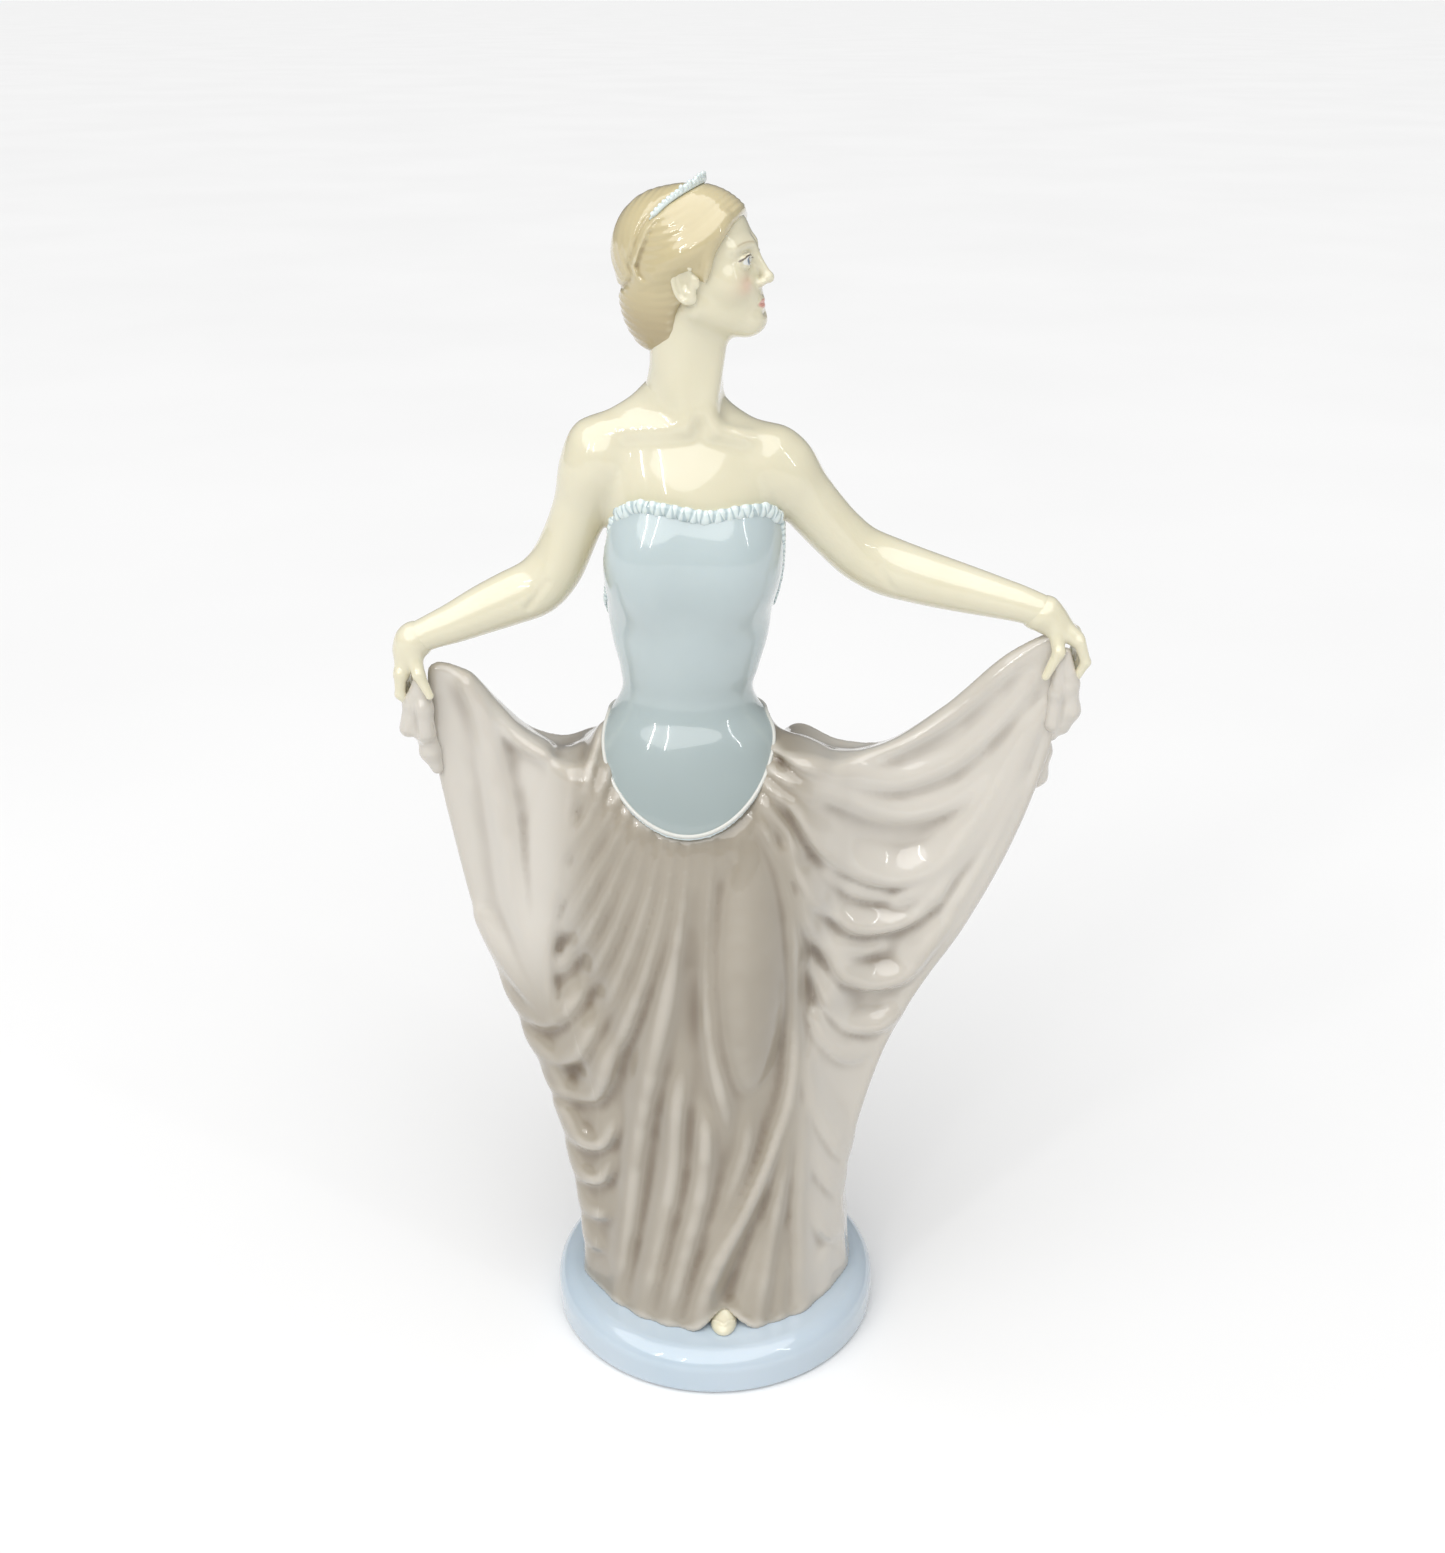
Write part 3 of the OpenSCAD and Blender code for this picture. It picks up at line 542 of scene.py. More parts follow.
def skirt_field():
    """The whole draped skirt as one field, before it is parted at its seams."""
    x, y, z = axes(SKIRT_LO, SKIRT_HI, SKIRT_STEP)
    xs, zs = x.ravel(), z.ravel()
    cx, a, cy, b = (r[None, None, :] for r in rows_at(COLUMN, zs))
    column = oval(x, y, cx, a, cy, b)
    # Plan of the lifted cloth: how far inside its outline a point is.
    out_r = x - rows_at(RIGHT_EDGE, zs)[0][None, None, :]
    out_l = rows_at(LEFT_EDGE, zs)[0][None, None, :] - x
    top = np.where(xs < -6, rows_at(RIGHT_TOP, xs)[0], rows_at(LEFT_TOP, xs)[0])[:, None, None]
    tilt = np.sqrt(1 + np.gradient(top.ravel(), xs) ** 2)[:, None, None]
    inside = smin(smin(out_r * 0.93, out_l * 0.9, 2.0), (top - z) / tilt, 3.0)
    reach = np.maximum(np.abs(x + 4.0) - 24.0, 0.0)
    half = 3.6 + 13.0 * np.exp(-(reach / 17.0) ** 2) * smooth((z - 5.0) / 60.0 + 0.45)
    half = half * (1.0 - 0.25 * smooth((z - 150) / 40))
    middle = -0.11 * reach
    edge_r = 3.0
    u = edge_r - inside
    v = np.abs(y - middle) - (half - edge_r)
    panel = np.minimum(np.maximum(u, v), 0) + np.sqrt(np.maximum(u, 0) ** 2 + np.maximum(v, 0) ** 2) - edge_r
    angle = np.arctan2((x - cx) / a, -(y - cy) / b)
    column = smax(column, z - waist_edge(angle), 1.6)
    field = smin(column, panel, 9.0)
    # Folds, kept shallower where the cloth is thin.
    chord = b * np.sqrt(np.clip(1 - ((x - cx) / a) ** 2, 0, 1))
    depth = np.maximum(half, np.where(np.abs(x - cx) < a, chord, 0))[:, 0, :]
    front = relief(xs, zs, FRONT_FOLDS)
    across, up = (xs[:, None] - 8.6) / 9.8, (zs[None, :] - 116.0) / 36.5
    leg = 4.2 * np.maximum(1.0 - across ** 2 - up ** 2, 0.0) ** 0.8
    front = np.maximum(front, leg) + relief(xs, zs, [], FRONT_DIPS)
    back = relief(xs, zs, back_folds())
    # They flatten towards the silhouette and towards the hem.
    calm = 0.45 + 0.55 * smooth(np.minimum(out_r, out_l)[:, 0, :] / 7.0)
    calm = calm * (1.0 - 0.4 * smooth((26.0 - zs[None, :]) / 12.0))
    front, back = (RELIEF_GAIN * soften(g, 3) * calm - RELIEF_SINK for g in (front, back))
    limit = 0.75 * depth
    front = np.where(front < 0, -limit * np.tanh(-front / limit), front)
    back = np.where(back < 0, -limit * np.tanh(-back / limit), back)
    facing = smooth((y - middle + 4.0) / 8.0)
    field = field - front[:, None, :] * (1 - facing) - back[:, None, :] * facing
    # The hem stands on the plinth and lifts a little over the slipper.
    arch = 11.6 + 4.4 * np.exp(-((x - 2.3) / 5.0) ** 2) * smooth((-y - 20.0) / 8.0)
    return smax(field, arch - z, 1.2), x, z


def sunk(field, past):
    """Lets a piece dive under its neighbour beyond their seam, and ends it there."""
    past = np.maximum(past, 0.0)
    return np.maximum(field + 0.1 * past ** 2, past - 4.0)


def lifted(points):
    """0 on the hanging skirt, 1 on the cloth held out at the sides, which is painted paler as painted light.
    """
    x, z = points[:, 0], points[:, 2]
    held_out = smooth((np.abs(x + 4.0) - 20.0) / 24.0) * smooth((z - 80.0) / 50.0)
    return np.maximum(held_out, 0.75 * smooth((x - 14.0) / 16.0))


def skirt():
    field, x, z = skirt_field()
    right = rows_at(SIDE_SEAM_RIGHT, z.ravel())[0][None, None, :]
    left = rows_at(SIDE_SEAM_LEFT, z.ravel())[0][None, None, :]
    parts = (("skirt", sunk(field, np.maximum(x - left, right - x)), "skirt_body"),
             ("lifted_cloth_right", sunk(field, x - right), "right_wing"),
             ("lifted_cloth_left", sunk(field, left - x), "left_wing"))
    for name, part, node in parts:
        points, quads = carve(part, SKIRT_LO, SKIRT_STEP)
        points = relax(points, quads, 2)
        piece = build(name, points, quads, [node], SKIRT)
        # Painted light: the cloth held out at the sides is painted paler than the hanging skirt.
        painted_light_and_shade = lifted(points)
        # The cloth painted paler as painted light gets less of the pooled glaze and painted shade in its
        # hollows.
        tint(piece, "hollow", hollows(points, quads, 8) * (1.0 - 0.25 * painted_light_and_shade))
        tint(piece, "painted_light_and_shade", painted_light_and_shade)


# ---- body ----
# Rows: height, centre x, half width, centre y, half depth.
TORSO = [[144, -6, 28, -1, 21.6], [152, -6.2, 27.2, -0.7, 20.4], [160, -6.4, 25.8, -0.4, 18.8],
         [167, -6.4, 23.6, -0.1, 16.8], [173, -6.2, 20.6, 0, 14.6], [178, -6.6, 16.4, 0, 12.2],
         [182, -6.5, 14.7, -0.1, 11.2], [188, -6, 15.5, -0.5, 11.4], [195, -5.8, 17.2, -0.9, 12.2],
         [204, -5.7, 18.4, -1.6, 13.2], [214, -4.9, 19.3, -2.2, 14], [222, -4.8, 19.8, -2, 13.8],
         [230, -4.9, 20.2, -1.2, 12.8], [236, -5.2, 20.4, -0.4, 11.6], [241, -5.8, 19.8, 0.4, 10.4],
         [245, -7, 17.4, 0.9, 9.4], [248, -7.6, 14, 1, 8.7], [252, -7.2, 10, 0.9, 8.2],
         [256, -6.6, 8.8, 0.4, 8], [264, -5.9, 8.3, -0.4, 7.7], [274, -5.3, 8, -1.2, 7.5]]
RIGHT_ARM = [(-25.5, 0.6, 238.6, 8), (-28.4, 0.8, 234.4, 7.2), (-31, 1.4, 227, 6.4),
             (-34.6, 2.4, 218, 6.2), (-38.2, 3, 211, 6.5), (-42.4, 3, 206.6, 6.7),
             (-48.5, 1.8, 204.2, 6.3), (-55, -0.4, 202, 5.6), (-62, -2.8, 199.4, 4.6),
             (-68.2, -4.8, 197.4, 3.8), (-71.6, -5.6, 195.8, 3.6), (-73, -5.8, 193.5, 3.2)]
LEFT_ARM = [(12.4, 0.6, 237.4, 8), (15.8, 0.6, 234.6, 7.5), (19.6, 0.8, 231, 6.9),
            (24.2, 1.4, 225.6, 6.5), (29.4, 2.2, 219.8, 6.3), (35, 3, 214.8, 6.5),
            (41, 3, 211.8, 6.8), (48, 1.8, 209.8, 6.4), (58, -0.6, 207.6, 5.6),
            (67, -3, 205.8, 4.7), (74, -4.8, 204.2, 4), (78, -5.4, 202.6, 3.7), (80, -5.6, 201, 3.3)]
NECK_SEAM = 254.0
TORSO_FOOT = 176.0
WRIST_RIGHT = ((-71.4, -5.6, 196), (-0.88, 0, -0.47))
WRIST_LEFT = ((78, -5.4, 202.8), (0.80, 0, -0.60))


def neck_muscles(p):
    """The two cords of the neck, from behind the ears to the pit of the throat."""
    right = bone(p, (-12, -1.8, 270), (-5.4, -7, 248.8), 1.9, 1.1)
    left = bone(p, (0.5, -2.6, 270), (-1.4, -7.2, 248.8), 1.7, 1.1)
    throat = bone(p, (-7.2, -3, 268), (-3.2, -5.6, 251), 3.4, 2)
    return smin(smin(right, left, 1), throat, 3)


def torso_field(p, detail=True):
    x, y, z = p
    cx, a, cy, b = (r[None, None, :] for r in rows_at(TORSO, z.ravel()))
    f = oval(x, y, cx, a, cy, b)
    f = smin(f, ball(p, (-14.0, -9.5, 215.0), (8.0, 7.0, 9.5)), 8.0)
    f = smin(f, ball(p, (3.6, -9.5, 215.0), (8.0, 7.0, 9.5)), 8.0)
    if not detail:
        return f
    # Slopes of the neck, collarbones, neck muscles and the pit of the throat.
    f = smin(f, bone(p, (-13.5, 1.2, 251.5), (-26.5, 1.0, 241.5), 3.0, 6.2), 5.0)
    f = smin(f, bone(p, (-1.6, 1.2, 247.6), (12.0, 1.0, 239.0), 3.4, 6.6), 5.0)
    collarbones = (((-6.4, -7.4, 247.2), (-15.0, -6.0, 246.4), (-25.0, -2.6, 245.6)),
                   ((-0.6, -7.4, 246.8), (5.4, -6.2, 245.2), (13.5, -2.8, 242.8)))
    for near, mid, far in collarbones:
        f = smin(f, limb(p, spline([(*near, 0.9), (*mid, 1.1), (*far, 1.0)], 9), 1.0), 3.4)
    f = smin(f, neck_muscles(p), 4.6)
    f = smax(f, -ball(p, (-2.6, -11.4, 247.6), (1.9, 2.6, 2.6)), 2.6)
    # Spine and shoulder blades.
    for side in (-1, 1):
        f = smin(f, ball(p, (-5.6 + 9.6 * side, 7.6, 231.0), (5.2, 4.0, 9.0)), 5.0)
    groove = 1.3 * np.exp(-((x + 5.8) / 2.2) ** 2) * smooth((y - 3) / 5) * smooth((250 - z) / 16)
    return f + groove


def arm_field(p, stations):
    return limb(p, spline(stations, 3 * len(stations)), 0.8)


def flesh(p):
    """Torso, neck and arms as one skin, with the fields of its parts."""
    body = torso_field(p)
    right = arm_field(p, RIGHT_ARM)
    right = smin(right, ball(p, (-27.8, 0.9, 236.5), (6.6, 7.2, 9.6)), 4)
    left = arm_field(p, LEFT_ARM)
    left = smin(left, ball(p, (15.6, 0.9, 235.4), (7.6, 7.4, 8.8)), 4)
    # Creases inside the elbows.
    right = smax(right, -bone(p, (-39.5, -4.6, 209.8), (-43.8, -4.2, 203.6), 0.5, 0.4), 1.6)
    left = smax(left, -bone(p, (38.4, -4.6, 213.6), (42.6, -4.4, 207), 0.4, 0.3), 1.6)
    arms = np.minimum(right, left)
    return smin(body, arms, 3.2), body, right, left


def along(p, plane):
    """Distance past a plane given by a point and a direction."""
    point, way = plane
    return sum((c - m) * w for c, m, w in zip(p, point, way))


def body():
    """Torso and arms, each cut from the whole skin so that they dive under each other."""
    step = 0.4
    for name, node, lo, hi in (("torso", "torso", (-33, -22, 174), (24, 18, 260)),
                               ("arm_right", "right_arm", (-80, -12, 186), (-14, 14, 254)),
                               ("arm_left", "left_arm", (2, -12, 192), (88, 14, 252))):
        p = axes(lo, hi, step)
        field, trunk, right, left = flesh(p)
        if name == "torso":
            past = np.maximum(0.6 * np.maximum(trunk - right, trunk - left), p[2] - NECK_SEAM)
        elif name == "arm_right":
            past = np.maximum(0.6 * (right - trunk), along(p, WRIST_RIGHT))
        else:
            past = np.maximum(0.6 * (left - trunk), along(p, WRIST_LEFT))
        field = np.maximum(sunk(field, past), TORSO_FOOT - p[2])
        carved(name, node, SKIN, field, lo, step, spread=10)


def hand(name, node, lo, hi, arm, wrist, knuckles, fingers, thumb):
    """A hand that grips the cloth: palm, four curled fingers and the thumb in front."""
    step = 0.25
    p = axes(lo, hi, step)
    f = limb(p, arm[-4:], 3.0)
    palm, ends = knuckles
    for end in ends:
        f = smin(f, bone(p, palm, end, 3.0, 2.1), 1.8)
    for finger in fingers:
        f = smin(f, limb(p, finger, 0.6), 0.7)
    f = smin(f, limb(p, thumb, 0.8), 1.4)
    carved(name, node, SKIN, sunk(f, -along(p, wrist)), lo, step, 1, 10)


def hands():
    hand("hand_right", "right_hand", (-80, -14, 174), (-60, 4, 204), RIGHT_ARM, WRIST_RIGHT,
         ((-72, -5.6, 195), [(-74.4, y, 188.4) for y in (-7.6, -3.6)]),
         [[(-74.6, -8.6 + 2.1 * k, 188.6, 1.5), (-75.0 + 0.3 * k, -8.4 + 2.1 * k, 183.4 + 0.5 * k, 1.25),
           (-72.6 + 0.2 * k, -8.0 + 2.1 * k, 180.2 + 0.7 * k, 1)] for k in range(4)],
         [(-71.2, -7.6, 193.2, 2), (-70, -9.8, 188.8, 1.45), (-67.6, -10.6, 183.8, 1)])
    hand("hand_left", "left_hand", (70, -14, 180), (92, 4, 210), LEFT_ARM, WRIST_LEFT,
         ((79, -5.6, 201.6), [(85.4, y, 197.2) for y in (-7.8, -3.6)]),
         [[(86.2, -8.8 + 2.1 * k, 196.6, 1.5), (88.0 - 0.4 * k, -8.6 + 2.1 * k, 191.6 + 0.5 * k, 1.25),
           (86.2 - 0.4 * k, -8.2 + 2.1 * k, 187.6 + 0.7 * k, 1)] for k in range(4)],
         [(80.4, -7.6, 199.6, 2), (81.2, -10.2, 194.6, 1.45), (78.4, -10.9, 188.8, 1)])


# ---- head ----
HEAD_AT = (-2.6, -1.0, 281.7)
HEAD_SIZE = 1.07
HEAD_TURN = math.radians(75.0)
HEAD_TILT = math.radians(10.0)


def head_local(p):
    """World millimetres to the head's own frame, which faces -Y."""
    x, y, z = ((c - m) / HEAD_SIZE for c, m in zip(p, HEAD_AT))
    c, s = math.cos(HEAD_TURN), math.sin(HEAD_TURN)
    x, y = c * x + s * y, -s * x + c * y
    c, s = math.cos(HEAD_TILT), math.sin(HEAD_TILT)
    return [np.asarray(v, F) for v in np.broadcast_arrays(x, c * y - s * z, s * y + c * z)]


def head_world(q):
    """Points in the head's own frame to world millimetres."""
    x, y, z = np.array(q, float).T
    c, s = math.cos(HEAD_TILT), math.sin(HEAD_TILT)
    y, z = c * y + s * z, c * z - s * y
    c, s = math.cos(HEAD_TURN), math.sin(HEAD_TURN)
    return HEAD_SIZE * np.stack([c * x - s * y, s * x + c * y, z], 1) + np.array(HEAD_AT)


CRANIUM = ((0.0, 1.2, 4.0), (10.2, 12.6, 11.4))


def head_form(q):
    """Skull and face of plain classical proportions: eyes halfway, mouth a third below the nose."""
    m = [np.abs(q[0]), q[1], q[2]]
    f = ball(q, *CRANIUM)
    f = smin(f, ball(q, (0, -2.8, -3), (8.5, 8.6, 10.6)), 3)
    f = smin(f, ball(q, (0, -5.2, -8.4), (5.4, 6.3, 6.4)), 3)
    f = smin(f, bone(m, (1, -7.8, -12.2), (7, 0.2, -7.6), 2.3, 2.5), 2.6)
    f = smin(f, ball(q, (0, -8.7, -12.2), (3.4, 3.1, 2.7)), 2)
    f = smin(f, ball(m, (5.4, -7.2, -3.6), (3, 2.8, 3.2)), 3)
    f = smin(f, bone(m, (1.4, -11, 3), (6, -9.2, 3), 0.8, 0.7), 2.4)
    f = smax(f, -ball(m, (3.8, -12.6, 0.3), (2.7, 2.3, 1.7)), 1.8)
    f = smin(f, ball(m, (3.7, -8.9, 0.1), (2.5, 2.4, 2.2)), 0.5)
    upper_lid = [(1.4, -10.5, -0.1), (2.4, -11.15, 0.85), (3.8, -11.35, 1.15), (5.2, -10.7, 0.8),
                 (6, -9.8, 0)]
    lower_lid = [(1.5, -10.5, -0.3), (2.6, -11, -0.95), (3.9, -11.05, -1.15), (5.2, -10.4, -0.8),
                 (6, -9.7, -0.1)]
    for lid, r in ((upper_lid, 0.34), (lower_lid, 0.24)):
        for a, b in zip(lid[:-1], lid[1:]):
            f = smin(f, bone(m, a, b, r, r), 0.4)
    f = smin(f, bone(q, (0, -11.1, 2.4), (0, -13.6, -3.8), 0.7, 0.9), 1.8)
    f = smin(f, ball(q, (0, -13.7, -4.3), (1.1, 1.1, 0.95)), 1)
    f = smin(f, ball(m, (1.25, -12.2, -4.9), (0.85, 1.1, 0.75)), 0.8)
    f = smax(f, -ball(m, (0.7, -12.7, -5.75), (0.35, 0.5, 0.45)), 0.4)
    upper_lip = [(0, -11.55, -8.35, 0.55), (1.2, -11.25, -8.45, 0.45), (2.4, -10.5, -8.9, 0.2)]
    lower_lip = [(0, -11.35, -9.75, 0.62), (1.1, -11.1, -9.65, 0.5), (2.1, -10.6, -9.2, 0.2)]
    for lip in (upper_lip, lower_lip):
        f = smin(f, limb(m, lip, 0.3), 0.8)
    f = smax(f, -bone(m, (0, -12.3, -9), (2.4, -11, -9), 0.1, 0.08), 0.3)
    f = smax(f, -ball(q, (0, -12.8, -7), (0.4, 0.6, 0.9)), 0.7)
    return smax(f, -ball(q, (0, -12.9, -10.95), (1.8, 1.2, 0.7)), 1)


def ear_form(q):
    """Both ears, as tall as brow to base of nose and three fifths as wide: dish, rim, lobe and flap."""
    top, foot, roll = 3.2, -6.0, 0.58
    tall = 0.5 * (top - foot) - roll
    wide = 0.6 * (tall + roll) - roll
    mid = 0.5 * (top + foot)
    m = [np.abs(q[0]), q[1], q[2]]
    f = ball(m, (9.7, 0.9, mid), (1.3, wide, tall))
    turn = np.radians(np.linspace(35, 262, 22))
    rim = [(10.9 - 0.5 * math.sin(0.5 * a) ** 2, 1.1 - wide * math.cos(a), mid + tall * math.sin(a), roll)
           for a in turn]
    f = smin(f, limb(m, rim, 0.2), 0.5)
    f = smax(f, -ball(m, (11.4, 0.8, mid + 0.2), (1.35, 0.58 * wide, 0.58 * tall)), 0.9)
    f = smin(f, ball(m, (10.1, 0.3, foot + 0.9), (0.8, 0.5 * wide, 1.2)), 1.2)
    return smin(f, ball(m, (10.1, -1.3, mid - 0.7), (0.5, 0.8, 1.1)), 1.0)


def head():
    step = 0.235
    lo = (-20.0, -18.0, NECK_SEAM - 4.0)
    p = axes(lo, (16.0, 14.0, 299.0), step)
    q = head_local(p)
    cx, a, cy, b = (r[None, None, :] for r in rows_at(TORSO, p[2].ravel()))
    neck = oval(p[0], p[1], cx, a, cy, b)
    neck = smin(neck, neck_muscles(p), 4.6)
    neck = smax(neck, p[2] - 275.0, 4.0)
    f = smin(head_form(q), neck, 2.6)
    f = smin(f, ear_form(q), 0.9)
    f = sunk(f, NECK_SEAM - p[2])
    piece, points = carved("head", "head", FACE, f, lo, step, 1)
    lx, ly, lz = head_local(points.T)
    ax = np.abs(lx)
    front = smooth((-ly - 8.0) / 1.0)
    bow = np.where(lz > -9.0, (lz + 9.0) / (0.85 + 0.2 * np.sin(ax * 1.6)), (-9.0 - lz) / 1.15)
    tint(piece, "lips", front * smooth((1.15 - np.sqrt((ax / 2.4) ** 2 + bow ** 2)) / 0.5))
    eye = np.sqrt(((ax - 3.75) / 2.1) ** 2 + (lz / np.where(lz > 0, 0.95, 0.8)) ** 2)
    opening = smooth((1.1 - eye) / 0.25)
    tint(piece, "eye_white", front * opening)
    tint(piece, "iris", front * smooth((0.92 - np.hypot(ax - 3.8, lz - 0.1)) / 0.2) * opening)
    lid = 1.0 - ((ax - 3.8) / 2.9) ** 2
    tint(piece, "lash", front * smooth((0.26 - np.abs(lz - 1.15 * lid)) / 0.2) * smooth((lid - 0.15) / 0.2))
    brow = 3.2 + 0.5 * (1 - ((ax - 3.9) / 3.0) ** 2)
    tint(piece, "brow", 0.5 * front * smooth((0.34 - np.abs(lz - brow)) / 0.3)
         * smooth((3.1 - np.abs(ax - 3.9)) / 0.8))
    cheek = np.exp(-((ax - 5.6) / 2.6) ** 2 - ((lz + 4.4) / 2.4) ** 2)
    tint(piece, "blush", 0.5 * cheek * smooth((-ly - 4) / 3))


def face_material():
    """Skin glaze with the painted lips, eyes, lashes, brows and cheeks."""
    material = SKIN.copy()
    material.name = "face_glaze"
    tree = material.node_tree
    shader = tree.nodes["Principled BSDF"]
    colour = shader.inputs["Base Color"].links[0].from_socket
    for name, paint in (("blush", (0.80, 0.47, 0.33)), ("lips", (0.70, 0.36, 0.30)),
                        ("brow", (0.42, 0.30, 0.17)), ("eye_white", (0.84, 0.85, 0.83)),
                        ("iris", (0.12, 0.17, 0.24)), ("lash", (0.10, 0.075, 0.06))):
        colour = blend(tree, attribute(tree, name, 0.0, 1.0), colour, paint)
    tree.links.new(colour, shader.inputs["Base Color"])
    return material


FACE = face_material()


# Seam between the combed hair and the chignon, in the head's frame: height, y.
ROLL_SEAM = [[-4, 27], [-2.2, 20], [-0.9, 15.2], [3.4, 12.5], [7.5, 10], [11.5, 7], [14.5, 2.5], [16.6, -2.4],
             [19, -9]]


def roll_seam(z):
    return rows_at(ROLL_SEAM, np.ravel(z))[0].reshape(np.shape(z))


def combed(f, across, along, depth):
    """Faint comb marks."""
    return f - depth * np.sin(2 * math.pi * across / 1.7) * (0.6 + 0.4 * np.sin(along / 2.3))


def hair():
    step = 0.25
    lo = (-27.0, -20.0, 256.0)
    p = axes(lo, (18.0, 20.0, 302.4), step)
    q = head_local(p)
    m = [np.abs(q[0]), q[1], q[2]]
    cap = ball(q, CRANIUM[0], tuple(r + 1.3 for r in CRANIUM[1]))
    cap = smin(cap, ball(q, (0, 8.2, -5.2), (9.6, 10.4, 13.0)), 4.0)
    edge_y = rows_at([[-20, 9.5], [-13, 6.2], [-6, 3.2], [-4.4, 1.2], [-2, -2.6], [1.5, -4.8], [4, -6.6],
                      [7, -9.0], [10, -11.4], [13, -14.0]], q[2].ravel())[0].reshape(q[2].shape)
    cap = combed(cap, q[2] + 0.35 * q[1] - 0.03 * q[1] ** 2, q[1], 0.07)
    cap = smax(cap, edge_y - q[1], 1.6)
    wave = spline([(6.4, -8.2, 9.2, 0.5), (8.4, -6.4, 7.0, 1.1), (10.0, -3.0, 4.8, 1.5),
                   (10.4, 1.6, 3.2, 1.6), (9.6, 6.4, 0.6, 1.2)], 14)
    cap = smin(cap, limb(m, wave, 0.6), 2.6)
    wisp = spline([(9.4, -5.0, 4.0, 1.0), (9.9, -4.2, 0.8, 0.8), (9.5, -3.0, -2.2, 0.35)], 8)
    cap = smin(cap, limb(m, wisp, 0.4), 1.2)
    cap = smax(cap, -ball(m, (11.9, 0.4, -3.4), (3.2, 3.6, 4.2)), 0.9)
    cap = smax(cap, -(q[2] + 18.6 - 0.2 * q[1]), 2.0)
    roll = ball(q, (0.0, 5.8, 3.8), (10.9, 12.8, 12.9))
    roll = combed(roll, q[1] - 0.5 * q[2] + 0.05 * (q[2] - 2) ** 2, q[2], 0.05)
    # A soft furrow parts the chignon from the combed hair in front of it.
    seam = roll_seam(q[2])
    behind = (q[1] - seam) / np.sqrt(1.0 + (roll_seam(q[2] + 0.5) - roll_seam(q[2] - 0.5)) ** 2)
    whole = smin(cap, np.maximum(roll, -1.5 - behind), 1.2) + 0.55 * np.exp(-(behind / 0.7) ** 2)
    for name, past, node in (("hair_cap", behind, "hair_cap"), ("chignon", -behind, "chignon")):
        piece, points = carved(name, node, HAIR, sunk(whole, past), lo, step)
        # Painted shade: the hair is painted darker towards its lower edge.
        tint(piece, "painted_light_and_shade", 0.7 * smooth((282.0 - points[:, 2]) / 14.0))


# ---- swept cords ----
def sweep_cord(points, radii, flat=1.0, sides=12, closed=False):
    """A tube along points whose radius may change; flat squeezes it towards the surface."""
    points = np.array(points, float)
    ahead = np.roll(points, -1, 0) - np.roll(points, 1, 0)
    if not closed:
        ahead[0], ahead[-1] = points[1] - points[0], points[-1] - points[-2]
    ahead /= np.linalg.norm(ahead, axis=1)[:, None]
    up = np.array([0.013, 0.021, 1.0])
    across = np.cross(ahead, up)
    across /= np.linalg.norm(across, axis=1)[:, None]
    over = np.cross(across, ahead)
    angle = 2 * math.pi * np.arange(sides) / sides
    ring = (flat * np.cos(angle)[None, :, None] * across[:, None, :]
            + np.sin(angle)[None, :, None] * over[:, None, :])
    mesh = (points[:, None, :] + np.asarray(radii)[:, None, None] * ring).reshape(-1, 3)
    n = len(points)
    i = np.arange(n if closed else n - 1)[:, None]
    k = np.arange(sides)[None, :]
    a, b = i * sides + k, i * sides + (k + 1) % sides
    j = (i + 1) % n
    c, d = j * sides + (k + 1) % sides, j * sides + k
    quads = np.stack([a, b, c, d], -1).reshape(-1, 4)
    if not closed:
        half = sides // 2
        first = [[s, sides - 1 - s, sides - 2 - s, s + 1] for s in range(half - 1)]
        last = [[(n - 1) * sides + v for v in reversed(f)] for f in first]
        quads = np.concatenate([quads, np.array(first), np.array(last)])
    return mesh, quads


# ---- bodice ----
HIP_Z = 176.0
POINT_Z = 152.0
NECKLINE_Z = 230.8
LOW_BACK_Z = 184.0
BODICE_T = 1.3
CHEST_TURN = 8.0


def waist_edge(t):
    """Height of the seam between bodice and skirt at an angle from the front."""
    return HIP_Z - (HIP_Z - POINT_Z) * np.maximum(np.cos(t), 0.0) ** 1.9


def bodice_top(t):
    side = np.degrees(np.arccos(np.cos(t - math.radians(CHEST_TURN))))
    fall = 0.06 * smooth((side - 40) / 22) + 0.49 * smooth((side - 60) / 32) + 0.45 * smooth((side - 90) / 70)
    return NECKLINE_Z + (LOW_BACK_Z - NECKLINE_Z) * fall - 1.1 * np.exp(-(side / 16) ** 2) - 1.0 * np.sin(t)


def bodice():
    step = 0.4
    lo = (-38.0, -26.0, 148.0)
    p = axes(lo, (26.0, 22.0, 234.0), step)
    x, y, z = p
    cx, a, cy, b = (r[None, None, :] for r in rows_at(TORSO, z.ravel()))
    t = np.arctan2((x - cx) / a, -(y - cy) / b)
    trunk = torso_field(p, False)
    f = smax(trunk - BODICE_T, z - bodice_top(t), 0.8)
    f = np.maximum(f, waist_edge(t) - 0.8 - z)
    f = np.maximum(f, -(trunk + 0.9))
    piece, points = carved("bodice", "bodice", BODICE, f, lo, step, spread=10)
    # Painted shade: the bodice is painted darker towards the waist.
    tint(piece, "painted_light_and_shade", 0.8 * smooth((212.0 - points[:, 2]) / 60.0))


